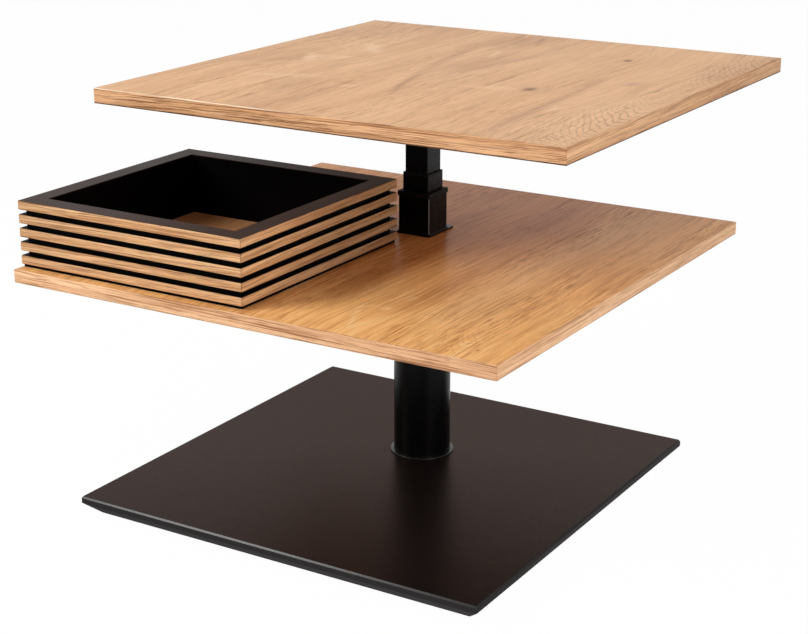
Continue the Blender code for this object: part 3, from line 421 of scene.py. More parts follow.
@dataclass(frozen=True)
class OakVeneer(Finish):
    """Oak veneer: straight fibres and pores, smoky and pale marks (some broad ones painted shade and painted
    light), arches and knots.
    """

    pale: Colour
    tan: Colour
    brown: Colour
    smoke_and_shade: Colour
    fleck_and_light: Colour
    arches: Tuple[Arches, ...] = ()
    smoke_and_shade_marks: Tuple[Stroke, ...] = ()
    fleck_and_light_marks: Tuple[Stroke, ...] = ()
    knots: Tuple[Knot, ...] = ()
    arch_weight: float = 0.80
    streak_weight: float = 0.85
    strand_weight: float = 0.35
    fibre_weight: float = 0.35
    pore_weight: float = 0.5
    dash_weight: float = 0.7
    line_weight: float = 0.6
    hair_weight: float = 0.2
    cloud_weight: float = 0.35
    sway: float = 0.060
    shiver: float = 0.012
    rough: float = 0.30
    specular: float = 0.08
    seed: float = 0.0

    @staticmethod
    def _sum(marks: Sequence[Stroke], across: Sock, along: Sock) -> Value:
        """Adds the masks of several marks at a point."""
        return sum(mark.mask(across, along) for mark in marks)

    def wire(self, g: Graph) -> None:
        """Fills the material's node tree.

        Args:
            g: The material's graph.
        """
        across, along, _ = g.place()
        plane = g.vector(across, along, self.seed)
        sway = g.noise(plane, (3.4, 2.2, 1.0)) - 0.5
        shiver = g.noise(plane, (26.0, 9.0, 1.0), 3.0, 0.55) - 0.5
        bent = across + sway * self.sway + shiver * self.shiver
        core: Value = 0.0
        halo: Value = 0.0
        for knot in self.knots:
            off_x = (across - knot.across) / knot.half_across
            off_y = (along - knot.along) / knot.half_along
            far = off_x * off_x + off_y * off_y + shiver * 2.0
            bent = bent - (far * -0.14).exp() * off_x * (knot.half_across * 0.8)
            core = (1 - far.smooth(0.40, 1.8)) * 0.50 + (1 - far.smooth(0.05, 0.55)) * 0.4 + core
            halo = (far * -0.3).exp() + halo
        grain = g.vector(bent, along, self.seed + 3.0)
        fibre = g.noise(grain, (420.0, 8.0, 1.0), 3.0, 0.65)
        hair = g.noise(grain, (230.0, 5.5, 5.0), 2.0, 0.65)
        strand = g.noise(grain, (95.0, 3.6, 1.0), 3.0, 0.6)
        streak = g.noise(grain, (15.0, 1.4, 1.0), 4.0, 0.6)
        cloud = g.noise(plane, (9.0, 3.4, 4.0), 3.0, 0.6, 1.0)
        band = g.noise(grain, (17.0, 1.4, 6.0)).smooth(0.40, 0.62)
        dash = g.noise(grain, (470.0, 26.0, 2.0), 2.0, 0.6).smooth(0.48, 0.70)
        line = g.noise(grain, (270.0, 5.5, 7.0), 2.0, 0.55).smooth(0.56, 0.72)
        pore = (dash * self.dash_weight + line * self.line_weight) * (band * 0.75 + 0.25)
        jag = shiver * 3.6 + (fibre - 0.5) * 0.8
        arched = (band * 0.5 + 0.5) * self.arch_weight
        colour = g.tint(
            self.pale,
            (streak.smooth(0.36, 0.64) * self.streak_weight, self.tan),
            (cloud.smooth(0.50, 0.72) * self.cloud_weight, self.smoke_and_shade),
            (strand.smooth(0.42, 0.66) * self.strand_weight, self.smoke_and_shade),
            # Dark marks: darker grain, and on the shelf also painted shade.
            (self._sum(self.smoke_and_shade_marks, bent, along) * (strand * 0.9 + 0.55), self.smoke_and_shade),
            # Pale marks: pale grain, and on the shelf also painted light.
            (self._sum(self.fleck_and_light_marks, across + shiver * 0.012, along), self.fleck_and_light),
            *[(patch.lines(across, along, jag) * arched, self.brown) for patch in self.arches],
            (fibre.smooth(0.42, 0.70) * self.fibre_weight, self.tan),
            (hair.smooth(0.50, 0.66) * self.hair_weight, self.smoke_and_shade),
            ((1 - hair.smooth(0.34, 0.48)) * self.hair_weight, self.fleck_and_light),
            (pore * self.pore_weight, self.brown),
            (halo * 0.35, self.smoke_and_shade),
            (core * (fibre * 0.8 + 0.6), self.brown),
        )
        rough = self.rough + fibre * 0.06 + pore * 0.10
        g.surface(colour, rough, g.bump(fibre * 0.5 - pore * 0.8, 0.00010, 0.25), self.specular)


@dataclass(frozen=True)
class OakEdge(Finish):
    """Thin oak band: fine straight streaks that drift a little, a dark line along its upper side, painted
    shade along its lower side, and where asked a darker end and a painted highlight along its upper edge.
    """

    side: Side
    tones: Tones
    low: float = 0.0
    high: float = 0.0
    drift: float = 0.02
    streak_weight: float = 0.75
    glint: float = 0.0
    under: float = 0.9
    end_darkening: Fade = NO_END_DARKENING
    shade: Colour = screen(56, 34, 23)
    underside_shade_line: Pair = (0.0012, 0.0024)
    upper_line: float = 0.0022
    arris_highlight: Pair = (-0.0014, -0.0006)
    arris_highlight_run: Pair = (-0.20, 0.10)
    rough: float = 0.36
    specular: float = 0.07
    seed: float = 0.0

    def wire(self, g: Graph) -> None:
        """Fills the material's node tree.

        Args:
            g: The material's graph.
        """
        x, y, z = g.place()
        run, depth = (x, y) if self.side in (Side.FRONT, Side.BACK) else (y, x)
        sway = g.noise(g.vector(run, self.seed), (7.0, 1.0, 1.0)) - 0.5
        rise = z - run * self.drift + sway * 0.005
        face = g.vector(run, rise, depth * 0.4 + self.seed)
        broad = g.noise(face, (2.6, 120.0, 1.0))
        streak = g.noise(face, (6.0, 500.0, 1.0), 3.0, 0.65)
        fine = g.noise(face, (16.0, 900.0, 1.0), 2.0, 0.6)
        dash = g.noise(face, (30.0, 700.0, 3.0), 2.0, 0.55).smooth(0.54, 0.70)
        pale, tan, brown = self.tones
        weight, start, end = self.end_darkening
        colour = g.tint(
            pale,
            (broad.smooth(0.34, 0.66), tan),
            (streak.smooth(0.46, 0.66) * self.streak_weight, brown),
            (fine.smooth(0.45, 0.75) * (self.streak_weight * 0.5), brown),
            (dash * (self.streak_weight * 0.7), brown),
            # Darker towards one end of the run, where asked.
            (run.smooth(start, end) * weight, self.shade),
        )
        if self.high > self.low:
            # Dark line along the band's lower edge: painted shade at the underside edge.
            lower = 1 - (z - self.low).smooth(*self.underside_shade_line)
            upper = 1 - ((z - self.high + self.upper_line + sway * 0.001) * 1250.0).size().smooth(0.2, 1.0)
            patchy = g.noise(face, (6.0, 1.0, 5.0)).smooth(0.42, 0.60)
            # Pale line along the band's upper edge, fading towards the run's far end and broken up by noise:
            # a painted highlight.
            arris_highlight = (z - self.high).smooth(*self.arris_highlight) * (1 - run.smooth(*self.arris_highlight_run))
            colour = g.tint(
                colour,
                (upper * patchy * 0.5, brown),
                (lower * self.under, self.shade),
                (arris_highlight * (patchy * 0.5 + 0.4) * self.glint, ARRIS_HIGHLIGHT_COLOUR),
            )
        normal = g.bump(streak - dash * 0.6, 0.00010, 0.15)
        g.surface(colour, self.rough + streak * 0.1, normal, self.specular)


@dataclass(frozen=True)
class BlackFace(Finish):
    """What the black boards share: a fine speckle and a slight cloudiness."""

    dark: Colour
    light: Colour

    def speckle(self, g: Graph, rough: float) -> Tuple[Sock, Sock, Sock]:
        """Makes the speckle and the clouds.

        Args:
            g: The material's graph.
            rough: The mean roughness.

        Returns:
            The colour, the roughness and the height of the specks.
        """
        point = g.point()
        speck = g.noise(point, even(520.0), 2.0, 0.6)
        cloud = g.noise(point, even(7.0), 3.0, 0.55)
        colour = g.mix(speck.smooth(0.35, 0.72) * 0.6 + cloud * 0.4, self.dark, self.light)
        return colour, rough + (speck - 0.5) * 0.18 + (cloud - 0.5) * 0.10, speck


@dataclass(frozen=True)
class BlackLacquer(BlackFace):
    """Black lacquered board."""

    rough: float = 0.5
    specular: float = 0.25
    tint: Colour = WHITE
    relief: float = 0.00006

    def wire(self, g: Graph) -> None:
        """Fills the material's node tree.

        Args:
            g: The material's graph.
        """
        colour, rough, speck = self.speckle(g, self.rough)
        g.surface(colour, rough, g.bump(speck, self.relief, 0.6), self.specular, self.tint)


@dataclass(frozen=True)
class SatinBoard(BlackFace):
    """Black stained board under a thin satin coat with a sheen."""

    sheen: Colour
    rough: float = 0.30
    index: float = 1.17
    least: float = 0.03
    most: float = 0.060
    relief: float = 0.00003

    def wire(self, g: Graph) -> None:
        """Fills the material's node tree.

        Args:
            g: The material's graph.
        """
        colour, rough, speck = self.speckle(g, self.rough)
        normal = g.bump(speck, self.relief, 0.6)
        both = {"Roughness": rough, "Normal": normal}
        stain = {"Base Color": colour, "Specular IOR Level": 0.0, **both}
        board = g.node("ShaderNodeBsdfPrincipled", inputs=stain)
        coat = g.node("ShaderNodeBsdfGlossy", inputs={"Color": self.sheen, **both})
        fresnel = g.node("ShaderNodeFresnel", inputs={"IOR": self.index})
        layers = {0: fresnel.largest(self.least).smallest(self.most), 1: board, 2: coat}
        g.node_end("ShaderNodeOutputMaterial", g.node("ShaderNodeMixShader", inputs=layers))


@dataclass(frozen=True)
class PowderCoat(Finish):
    """Satin powder coat on steel, with a fine orange-peel surface and, where asked, a painted highlight along
    a square tube's corners.
    """

    dark: Colour
    light: Colour
    rough: float = 0.36
    specular: float = 0.22
    corner: float = 0.0
    corner_highlight: Colour = screen(128, 125, 125)
    corner_highlight_edge: Pair = (0.0013, 0.0006)

    def wire(self, g: Graph) -> None:
        """Fills the material's node tree.

        Args:
            g: The material's graph.
        """
        point = g.point()
        peel = g.noise(point, even(640.0))
        dust = g.noise(point, even(60.0), 3.0, 0.6)
        colour = g.mix(peel * 0.5 + dust * 0.5, self.dark, self.light)
        # Lighter grey along the corners of a square tube: a painted highlight.
        if self.corner:
            x, y, _ = g.place()
            near = x.size().smallest(y.size())
            highlit = near.smooth(self.corner - self.corner_highlight_edge[0], self.corner - self.corner_highlight_edge[1])
            colour = g.mix(highlit * (dust * 0.6 + 0.5), colour, self.corner_highlight)
        rough = self.rough + (dust - 0.5) * 0.16
        g.surface(colour, rough, g.bump(peel, 0.00005, 0.5), self.specular)


@dataclass(frozen=True)
class MouldedPlastic(Finish):
    """Black moulded plastic with a fine spark-eroded grain."""

    dark: Colour
    light: Colour
    rough: float = 0.48
    specular: float = 0.10

    def wire(self, g: Graph) -> None:
        """Fills the material's node tree.

        Args:
            g: The material's graph.
        """
        point = g.point()
        grain = g.noise(point, even(1500.0), 2.0, 0.6)
        flow = g.noise(point, (40.0, 40.0, 12.0))
        colour = g.mix(grain * 0.6 + flow * 0.4, self.dark, self.light)
        rough = self.rough + (flow - 0.5) * 0.14
        g.surface(colour, rough, g.bump(grain, 0.00004, 0.6), self.specular)


@dataclass(frozen=True)
class ZincSteel(Finish):
    """Zinc-plated steel with cloudy plating and fine draw marks."""

    bright: Colour
    dull: Colour
    rough: float = 0.36
    specular: float = 0.5

    def wire(self, g: Graph) -> None:
        """Fills the material's node tree.

        Args:
            g: The material's graph.
        """
        point = g.point()
        cloud = g.noise(point, even(90.0), 3.0, 0.6)
        mark = g.noise(point, (1400.0, 120.0, 1400.0))
        colour = g.mix(cloud.smooth(0.35, 0.7), self.bright, self.dull)
        g.surface(colour, self.rough + cloud * 0.20, g.bump(mark, 0.00002, 0.5), self.specular, metal=1.0)


@dataclass(frozen=True)
class Felt(Finish):
    """Dark pressed felt with matted fibres."""

    dark: Colour
    light: Colour
    rough: float = 0.95
    specular: float = 0.1

    def wire(self, g: Graph) -> None:
        """Fills the material's node tree.

        Args:
            g: The material's graph.
        """
        mat = g.noise(g.point(), even(900.0), 4.0, 0.7, 1.5)
        colour = g.mix(mat.smooth(0.3, 0.7), self.dark, self.light)
        g.surface(colour, self.rough, g.bump(mat, 0.0003, 0.8), self.specular)


def quarter_turn(steps: int) -> List[float]:
    """Gives the angles of a quarter turn in equal steps."""
    return [math.pi / 2 * step / steps for step in range(steps + 1)]


def ring_loop(radius: float, level: float, count: int) -> Loop:
    """Gives so many points of a level circle round the upright axis."""
    turns = [2 * math.pi * step / count for step in range(count)]
    return [(radius * math.cos(t), radius * math.sin(t), level) for t in turns]


def loft(loops: Sequence[Loop], closed: bool = False) -> bmesh.types.BMesh:
    """Joins loops of equal count into a skin.

    Args:
        loops: The loops in order.
        closed: True joins the last loop to the first; otherwise both ends are capped.

    Returns:
        A closed mesh.
    """
    mesh = bmesh.new()
    rows = [[mesh.verts.new(point) for point in loop] for loop in loops]
    pairs = list(zip(rows, rows[1:]))
    if closed:
        pairs.append((rows[-1], rows[0]))
    else:
        mesh.faces.new(rows[0])
        mesh.faces.new(rows[-1])
    for low, high in pairs:
        for index in range(len(low)):
            after = (index + 1) % len(low)
            mesh.faces.new((low[index], low[after], high[after], high[index]))
    bmesh.ops.recalc_face_normals(mesh, faces=mesh.faces)
    return mesh


def joined(parts: Sequence[bmesh.types.BMesh]) -> bmesh.types.BMesh:
    """Joins meshes into one.

    Args:
        parts: The meshes, which are used up.

    Returns:
        One mesh with all their faces.
    """
    whole = bmesh.new()
    for part in parts:
        data = bpy.data.meshes.new("part")
        part.to_mesh(data)
        part.free()
        whole.from_mesh(data)
        bpy.data.meshes.remove(data)
    return whole


def side_run(
    side: Side, middle: Vector, half: float, shape: Sequence[Pair], gap: float
) -> bmesh.types.BMesh:
    """Runs a closed outline along one side of a square, mitred at both ends.

    Args:
        side: Which side.
        middle: The square's middle.
        half: Half the square's side.
        shape: Points of depth below the outer face, and height.
        gap: What each end stays short of its mitre.

    Returns:
        The run's mesh.
    """
    turn = side.value * math.pi / 2
    cos, sin = math.cos(turn), math.sin(turn)
    loops: List[Loop] = []
    for end in (-1, 1):
        loop: Loop = []
        for depth, level in shape:
            run, out = end * (half - depth - gap), -(half - depth)
            loop.append((middle.x + run * cos - out * sin, middle.y + run * sin + out * cos, level))
        loops.append(loop)
    return loft(loops)


class Assembly:
    """What the sub-assemblies share: dressing CAD nodes and adding pieces."""

    def dress(self, finish: Finish, *nodes: str) -> None:
        """Gives CAD nodes a finish.

        Args:
            finish: The finish.
            nodes: The nodes' names.
        """
        for name in nodes:
            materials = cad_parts[name].data.materials
            materials.clear()
            materials.append(finish.material())
            LOG.info("%s: %s", name, finish.name)

    def add(
        self,
        name: str,
        mesh: bmesh.types.BMesh,
        finish: Finish,
        body: Body,
        slot: Slot,
        replaced: Sequence[str] = (),
    ) -> None:
        """Adds a piece to the scene.

        Args:
            name: The piece's name.
            mesh: Its shape, which is used up.
            finish: Its finish.
            body: The body that it rides on.
            slot: Not used.
            replaced: CAD nodes that it stands for.
        """
        data = bpy.data.meshes.new(name)
        mesh.to_mesh(data)
        mesh.free()
        data.polygons.foreach_set("use_smooth", [True] * len(data.polygons))
        data.set_sharp_from_angle(angle=SHARP_ANGLE)
        data.materials.append(finish.material())
        piece = bpy.data.objects.new(name, data)
        bpy.context.scene.collection.objects.link(piece)
        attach(piece, body.value)
        if replaced:
            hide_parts(*replaced)
        LOG.info("%s: %s", name, finish.name)


RIM_TINT = (1.0, 0.80, 0.72, 1.0)
WARM_SHEEN = (1.0, 0.76, 0.68, 1.0)
PLAIN_SHEEN = (1.0, 0.96, 0.95, 1.0)
BLACK_BOARD = SatinBoard("Black base board", screen(12, 9, 10), screen(21, 16, 16), WARM_SHEEN)
# The edge is a darker copy of the board's finish with a plainer sheen: painted shade on the base's edge
# faces.
BLACK_EDGE_SHADED = SatinBoard(
    "Black base edge", screen(9, 8, 8), screen(17, 15, 15), PLAIN_SHEEN, least=0.025, most=0.045
)
BLACK_RIM = BlackLacquer(
    "Black box rim", screen(37, 23, 17), screen(50, 34, 27), rough=0.42, specular=0.05, tint=RIM_TINT
)
# The lining and the grooved cores are near-black copies of the rim's black: painted shade inside the box and
# in its grooves. The plinth takes the lining's.
BLACK_LINING_SHADED = BlackLacquer("Black box lining", screen(2, 1, 1), screen(5, 4, 4), specular=0.02)
BLACK_CORE_SHADED = BlackLacquer("Black box groove", screen(5, 4, 3), screen(10, 8, 7), specular=0.03)
POWDER = PowderCoat("Black powder coat", screen(2, 2, 2), screen(6, 5, 5), rough=0.28, specular=0.10)
RING_COAT = PowderCoat("Black ring coat", screen(18, 15, 15), screen(28, 25, 24), rough=0.26, specular=0.26)
PLASTIC = MouldedPlastic("Black moulded plastic", screen(3, 2, 2), screen(8, 6, 6))
STEEL = ZincSteel("Zinc plated steel", screen(160, 161, 163), screen(118, 119, 121))
FELT = Felt("Dark felt", screen(22, 21, 21), screen(52, 50, 48))
CORNERS = ("front_left", "front_right", "back_left", "back_right")


@dataclass
class Base(Assembly):
    """The square black base board with an undercut edge, on four glides."""

    undercut: float = 0.020
    band: float = 0.010
    edge_round: float = 0.0010
    chamfer: float = 0.0027
    tilt: float = math.radians(36)
    flat: float = 0.0006
    corner: float = 0.002
    steps: int = 4

    def _square(self, middle: Vector, half: float, level: float) -> Loop:
        """Gives a level square with rounded corners.

        Args:
            middle: Its middle.
            half: Half its side.
            level: Its height.

        Returns:
            The points in order.
        """
        loop: Loop = []
        for quarter, (side_x, side_y) in enumerate(((1, 1), (-1, 1), (-1, -1), (1, -1))):
            for step in range(self.steps + 1):
                angle = math.pi / 2 * (quarter + step / self.steps)
                x = middle.x + side_x * (half - self.corner) + self.corner * math.cos(angle)
                y = middle.y + side_y * (half - self.corner) + self.corner * math.sin(angle)
                loop.append((x, y, level))
        return loop

    def _edge(self, thick: float) -> Outline:
        """Gives the outline of the edge.

        Args:
            thick: The board's thickness.

        Returns:
            Points of depth in from the side, and drop below the top, from the lower side up.
        """
        turn, tilt = self.edge_round, self.tilt
        slope = (self.chamfer * math.sin(tilt), self.chamfer * math.cos(tilt))
        drop = turn + slope[1]
        points = [(self.undercut, thick), (0.0, self.band), (0.0, drop + self.flat)]
        for angle in (0.0, tilt / 3, tilt * 2 / 3, tilt):
            points.append((turn - turn * math.cos(angle), drop - turn * math.sin(angle)))
        for step in range(self.steps + 1):
            angle = tilt + (math.pi / 2 - tilt) * step / self.steps
            points.append((turn - turn * math.cos(angle) + slope[0], turn - turn * math.sin(angle)))
        points.append((points[-1][0] + self.flat, 0.0))
        return points

    def build(self) -> None:
        """Makes the board and its chamfered, undercut edge, and dresses the glides."""
        low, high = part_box("base_plate")
        middle, half = (low + high) / 2, (high.x - low.x) / 2
        outline = self._edge(high.z - low.z)
        edge = [self._square(middle, half - depth, high.z - drop) for depth, drop in outline]
        board = loft([edge[0], edge[-1]])
        self.add("base_board", board, BLACK_BOARD, Body.STAND, Slot.BLACK_BOARD, ["base_plate"])
        self.add("base_edge", loft(edge, closed=True), BLACK_EDGE_SHADED, Body.STAND, Slot.BLACK_BOARD)
        self.dress(FELT, *[f"base_glide_{corner}" for corner in CORNERS])


@dataclass
class Column(Assembly):
    """The round column, the rosette at its foot and what holds it to the base."""

    wall: float = 0.002
    lip: float = 0.0006
    fit: float = 0.0003
    rosette_round: float = 0.0009
    steps: int = 5
    count: int = 128

    def build(self) -> None:
        """Makes the smooth column and rosette and dresses the rest."""
        low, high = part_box("column_tube")
        outer, inner = high.x, high.x - self.wall
        shape = [
            (inner, low.z), (outer - self.lip, low.z), (outer, low.z + self.lip),
            (outer, high.z - self.lip), (outer - self.lip, high.z), (inner, high.z),
        ]
        tube = loft([ring_loop(r, z, self.count) for r, z in shape], closed=True)
        self.add("column_shell", tube, POWDER, Body.STAND, Slot.BLACK_POWDER, ["column_tube"])
        low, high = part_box("column_rosette")
        bore, reach, turn = outer + self.fit, high.x, self.rosette_round
        arc = quarter_turn(self.steps)
        shape = [(bore, low.z), (reach, low.z)]
        shape += [(reach - turn + turn * math.cos(a), high.z - turn + turn * math.sin(a)) for a in arc]
        shape += [(bore, high.z)]
        ring = loft([ring_loop(r, z, self.count) for r, z in shape], closed=True)
        self.add("column_foot_ring", ring, RING_COAT, Body.STAND, Slot.BLACK_POWDER, ["column_rosette"])
        self.dress(PLASTIC, "column_spacer")
        self.dress(STEEL, "foot_flange", *[f"foot_screw_{side.word}" for side in Side])


@dataclass
class Board(Assembly):
    """A square oak board with a thin band on each edge."""

    stem: str
    veneer: OakVeneer
    tones: Tones
    body: Body
    slot: Slot
    drift: float = 0.02
    streaks: Pair = (0.95, 0.60)
    glint: float = 0.0
    under: float = 0.9
    thick: float = 0.002
    turn: float = 0.0009
    steps: int = 4
    mitre_gap: float = 0.00015

    def build(self) -> None:
        """Dresses the panel and makes its rounded bands."""
        self.dress(self.veneer, f"{self.stem}_panel")
        front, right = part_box(f"{self.stem}_edge_front"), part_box(f"{self.stem}_edge_right")
        half = right[1].x
        middle = Vector((0.0, front[0].y + half, 0.0))
        low, high = front[0].z, front[1].z
        arc, turn = quarter_turn(self.steps), self.turn
        outline = [(self.thick, low)]
        outline += [(turn - turn * math.sin(a), low + turn - turn * math.cos(a)) for a in arc]
        outline += [(turn - turn * math.cos(a), high - turn + turn * math.sin(a)) for a in arc]
        outline += [(self.thick, high)]
        for side in Side:
            oak = OakEdge(
                f"Oak band {self.stem} {side.word}", side, self.tones, low, high, self.drift,
                streak_weight=self.streaks[side.value % 2], under=self.under, seed=float(side.value),
                # Only the front band takes the painted highlight along its upper edge.
                glint=self.glint if side is Side.FRONT else 0.0,
            )
            band = side_run(side, middle, half, outline, self.mitre_gap)
            edge = f"{self.stem}_edge_{side.word}"
            self.add(f"{self.stem}_band_{side.word}", band, oak, self.body, self.slot, [edge])


@dataclass
class Telescope(Assembly):
    """The square lifting post: three tubes, their collars and guides, and the gas spring."""

    screw_radius: float = 0.0042
    screw_height: float = 0.0018
    socket: float = 0.0018
    screw_rim: float = 0.35
    socket_rim: float = 1.3
    socket_floor: float = 0.3
    dome_steps: int = 5
    grub_radius: float = 0.0021
    grub_place: Pair = (-0.007, 0.4265)
    grub_shape: Tuple[Pair, ...] = (
        (1.0, 0.0004), (1.0, -0.0001), (0.8, -0.0004), (0.45, -0.0004), (0.45, 0.0003),
    )
    bead: float = 0.0016
    bead_hollow: Tuple[Pair, ...] = ((0.55, 0.7), (0.2, 0.4))

    def _cap_screw(self, count: int = 32) -> bmesh.types.BMesh:
        """Makes a low domed screw head with a hexagon socket, standing on the level of zero.

        Args:
            count: Points round the head.

        Returns:
            The head's mesh.
        """
        rim = self.screw_height * self.screw_rim
        dome = self.screw_height - rim
        loops = [ring_loop(self.screw_radius, 0.0, count)]
        reach = self.screw_radius - self.socket * self.socket_rim
        for angle in quarter_turn(self.dome_steps):
            radius = self.screw_radius - reach * (1 - math.cos(angle))
            loops.append(ring_loop(radius, rim + dome * math.sin(angle), count))
        sixth = math.pi / 3
        hexes: Loop = []
        for step in range(count):
            angle = 2 * math.pi * step / count
            away = self.socket * math.cos(sixth / 2) / math.cos((angle % sixth) - sixth / 2)
            hexes.append((away * math.cos(angle), away * math.sin(angle), self.screw_height))
        loops += [hexes, [(x, y, self.screw_height * self.socket_floor) for x, y, _ in hexes]]
        return loft(loops)

    def _grub_screw(self, face: float, count: int = 24) -> bmesh.types.BMesh:
        """Makes the end of a set screw in the outer tube's front face.

        Args:
            face: The face's place along y.
            count: Points round the screw.

        Returns:
            The screw's mesh.
        """
        x, z = self.grub_place
        loops: List[Loop] = []
        for share, depth in self.grub_shape:
            ring = ring_loop(self.grub_radius * share, 0.0, count)
            loops.append([(x + u, face + depth, z + v) for u, v, _ in ring])
        return loft(loops)

    def _bead(self, half: float, level: float, way: float) -> bmesh.types.BMesh:
        """Makes a weld bead round a square tube.

        Args:
            half: Half the tube's side.
            level: The level of the plate that the tube is welded to.
            way: 1 if the bead lies above that level, -1 if below.

        Returns:
            The bead's mesh.
        """
        size = self.bead
        shape = [(0.0, level), (size, level), (size, level + way * size)]
        shape += [(size * across, level + way * size * up) for across, up in self.bead_hollow]
        return joined([side_run(side, Vector((0, 0, 0)), half + size, shape, 0.0) for side in Side])

    def build(self) -> None:
        """Dresses the tubes, collars, guides and gas spring, and adds the fixings."""
        self.dress(POWDER, "middle_tube", "inner_tube", "shelf_flange", "gas_cylinder")
        self.dress(PLASTIC, "outer_collar", "middle_collar", "middle_guide", "inner_guide")
        self.dress(STEEL, "release_head", "gas_rod", "valve_pin")
        flange, tube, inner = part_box("shelf_flange"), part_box("outer_tube"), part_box("inner_tube")
        # The outer tube's corners get the painted highlight.
        self.dress(replace(POWDER, name="Rubbed powder coat", corner=tube[1].x), "outer_tube")
        screw = self._cap_screw()
        place = (0.0, (flange[1].y + tube[1].y) / 2 + self.bead / 2, flange[1].z)
        bmesh.ops.translate(screw, verts=screw.verts, vec=place)
        self.add("shelf_flange_screw", screw, STEEL, Body.STAND, Slot.BRIGHT_STEEL)
        grub = self._grub_screw(tube[0].y)
        self.add("outer_tube_grub_screw", grub, PLASTIC, Body.STAND, Slot.BLACK_PLASTIC)
        weld = self._bead(tube[1].x, flange[1].z, 1.0)
        self.add("shelf_flange_weld", weld, POWDER, Body.STAND, Slot.BLACK_POWDER)
        weld = self._bead(inner[1].x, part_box("head_plate")[0].z, -1.0)
        self.add("head_plate_weld", weld, STEEL, Body.INNER, Slot.BRIGHT_STEEL)


@dataclass
class LiftHead(Assembly):
    """The swivel under the top, and the release lever."""

    def build(self) -> None:
        """Dresses the plates, the bearing and the lever."""
        self.dress(
            STEEL, "head_plate", "lever_bracket", "lever_pin", "swivel_lower_race", "swivel_ball_ring",
            "swivel_bolt", "swivel_nut", "release_lever", "swivel_upper_race", "top_plate",
            *[f"top_screw_{corner}" for corner in CORNERS],
        )
        self.dress(PLASTIC, "lever_grip")


@dataclass
class SlattedBox(Assembly):
    """The loose box: black grooved walls faced with oak strips, on an oak floor."""

    wall: float = 0.029
    slat: float = 0.0125
    groove: float = 0.0067
    groove_depth: float = 0.0075
    slats: int = 5
    lip: float = 0.00055
    face: float = 0.0006
    lining: float = 0.0006
    plinth_gap: float = 0.0002
    plinth_inset: float = 0.0025
    rim: float = 0.0010
    rim_round: float = 0.0005
    rim_gap: float = 0.00005
    mitre_gap: float = 0.0004
    tones: Tones = (screen(230, 184, 137), screen(205, 154, 107), screen(120, 76, 46))
    streak_weight: float = 0.72
    seed: float = 7.0
    # Strips darker towards one end: on the right wall towards the back, painted shade for the shadow under
    # the top; on the front wall towards its left end.
    end_darkening: Mapping[Side, Fade] = field(
        default_factory=lambda: {Side.FRONT: (0.15, -0.22, -0.36), Side.RIGHT: (0.40, -0.40, -0.20)}
    )

    def _core_outline(self, low: float) -> Outline:
        """Gives the outline of a wall's black core.

        Args:
            low: The wall's lowest level.

        Returns:
            Points of depth and height, round the outline.
        """
        back = self.wall - self.lining
        points: Outline = [(back, low)]
        for index in range(self.slats):
            start = low + index * (self.slat + self.groove)
            end = start + self.slat
            points += [(self.face, start), (self.face, end)]
            if index < self.slats - 1:
                points += [(self.groove_depth, end), (self.groove_depth, end + self.groove)]
        points[-1] = (self.face, points[-1][1] - self.rim)
        return points + [(back, points[-1][1])]

    def _strip_outlines(self, low: float) -> List[Outline]:
        """Gives the outlines of a wall's oak strips.

        Args:
            low: The wall's lowest level.

        Returns:
            For each strip, points of depth and height.
        """
        outlines: List[Outline] = []
        for index in range(self.slats):
            start = low + index * (self.slat + self.groove) + self.lip
            end, turn = start + self.slat - 2 * self.lip, self.face / 2
            outlines.append([
                (self.face, start), (turn, start), (0.0, start + turn),
                (0.0, end - turn), (turn, end), (self.face, end),
            ])
        return outlines

    def build(self) -> None:
        """Makes the cores and strips and dresses the floor and pads."""
        left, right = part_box("box_wall_left")[0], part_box("box_wall_right")[1]
        front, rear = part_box("box_wall_front")[0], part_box("box_wall_back")[1]
        half = (right.x - left.x) / 2
        middle = Vector(((left.x + right.x) / 2, (front.y + rear.y) / 2, 0))
        low = left.z
        top = low + self.slats * self.slat + (self.slats - 1) * self.groove
        under, turn, wall, back = top - self.rim, self.rim_round, self.wall, self.wall - self.lining
        rim = [(self.face, under), (self.face, top), (wall - turn, top), (wall, top - turn), (wall, under)]
        lining = [(back, low), (back, under), (wall, under), (wall, low)]
        foot, sole = low - self.plinth_gap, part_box("box_pad_front_left")[0].z
        inset, inner = self.plinth_inset, self.groove_depth - self.plinth_gap
        plinth = [(inset, sole), (inset, foot), (inner, foot), (inner, sole)]
        core, outlines, gap = self._core_outline(low), self._strip_outlines(low), self.mitre_gap
        for side in Side:
            oak = OakEdge(
                f"Oak strip {side.word}", side, self.tones, streak_weight=self.streak_weight,
                seed=self.seed + side.value, end_darkening=self.end_darkening.get(side, NO_END_DARKENING),
            )
            run = partial(side_run, side, middle, half)
            strips = joined([run(outline, gap) for outline in outlines])
            for stem, mesh, finish, slot, replaced in (
                ("core", run(core, gap), BLACK_CORE_SHADED, Slot.BLACK_BOARD, [f"box_wall_{side.word}"]),
                ("rim", run(rim, self.rim_gap), BLACK_RIM, Slot.BLACK_BOARD, []),
                ("lining", run(lining, gap), BLACK_LINING_SHADED, Slot.BLACK_BOARD, []),
                ("strips", strips, oak, Slot.BOX_OAK, []),
                ("plinth", run(plinth, 0.0), BLACK_LINING_SHADED, Slot.BLACK_BOARD, []),
            ):
                self.add(f"box_{stem}_{side.word}", mesh, finish, Body.BOX, slot, replaced)
        floor = OakVeneer(
            "Oak box floor", screen(211, 161, 116), screen(193, 138, 92), screen(137, 88, 54),
            screen(157, 113, 78), screen(221, 175, 132), seed=9.0,
        )
        self.dress(floor, "box_floor")
        self.dress(FELT, *[f"box_pad_{corner}" for corner in CORNERS])


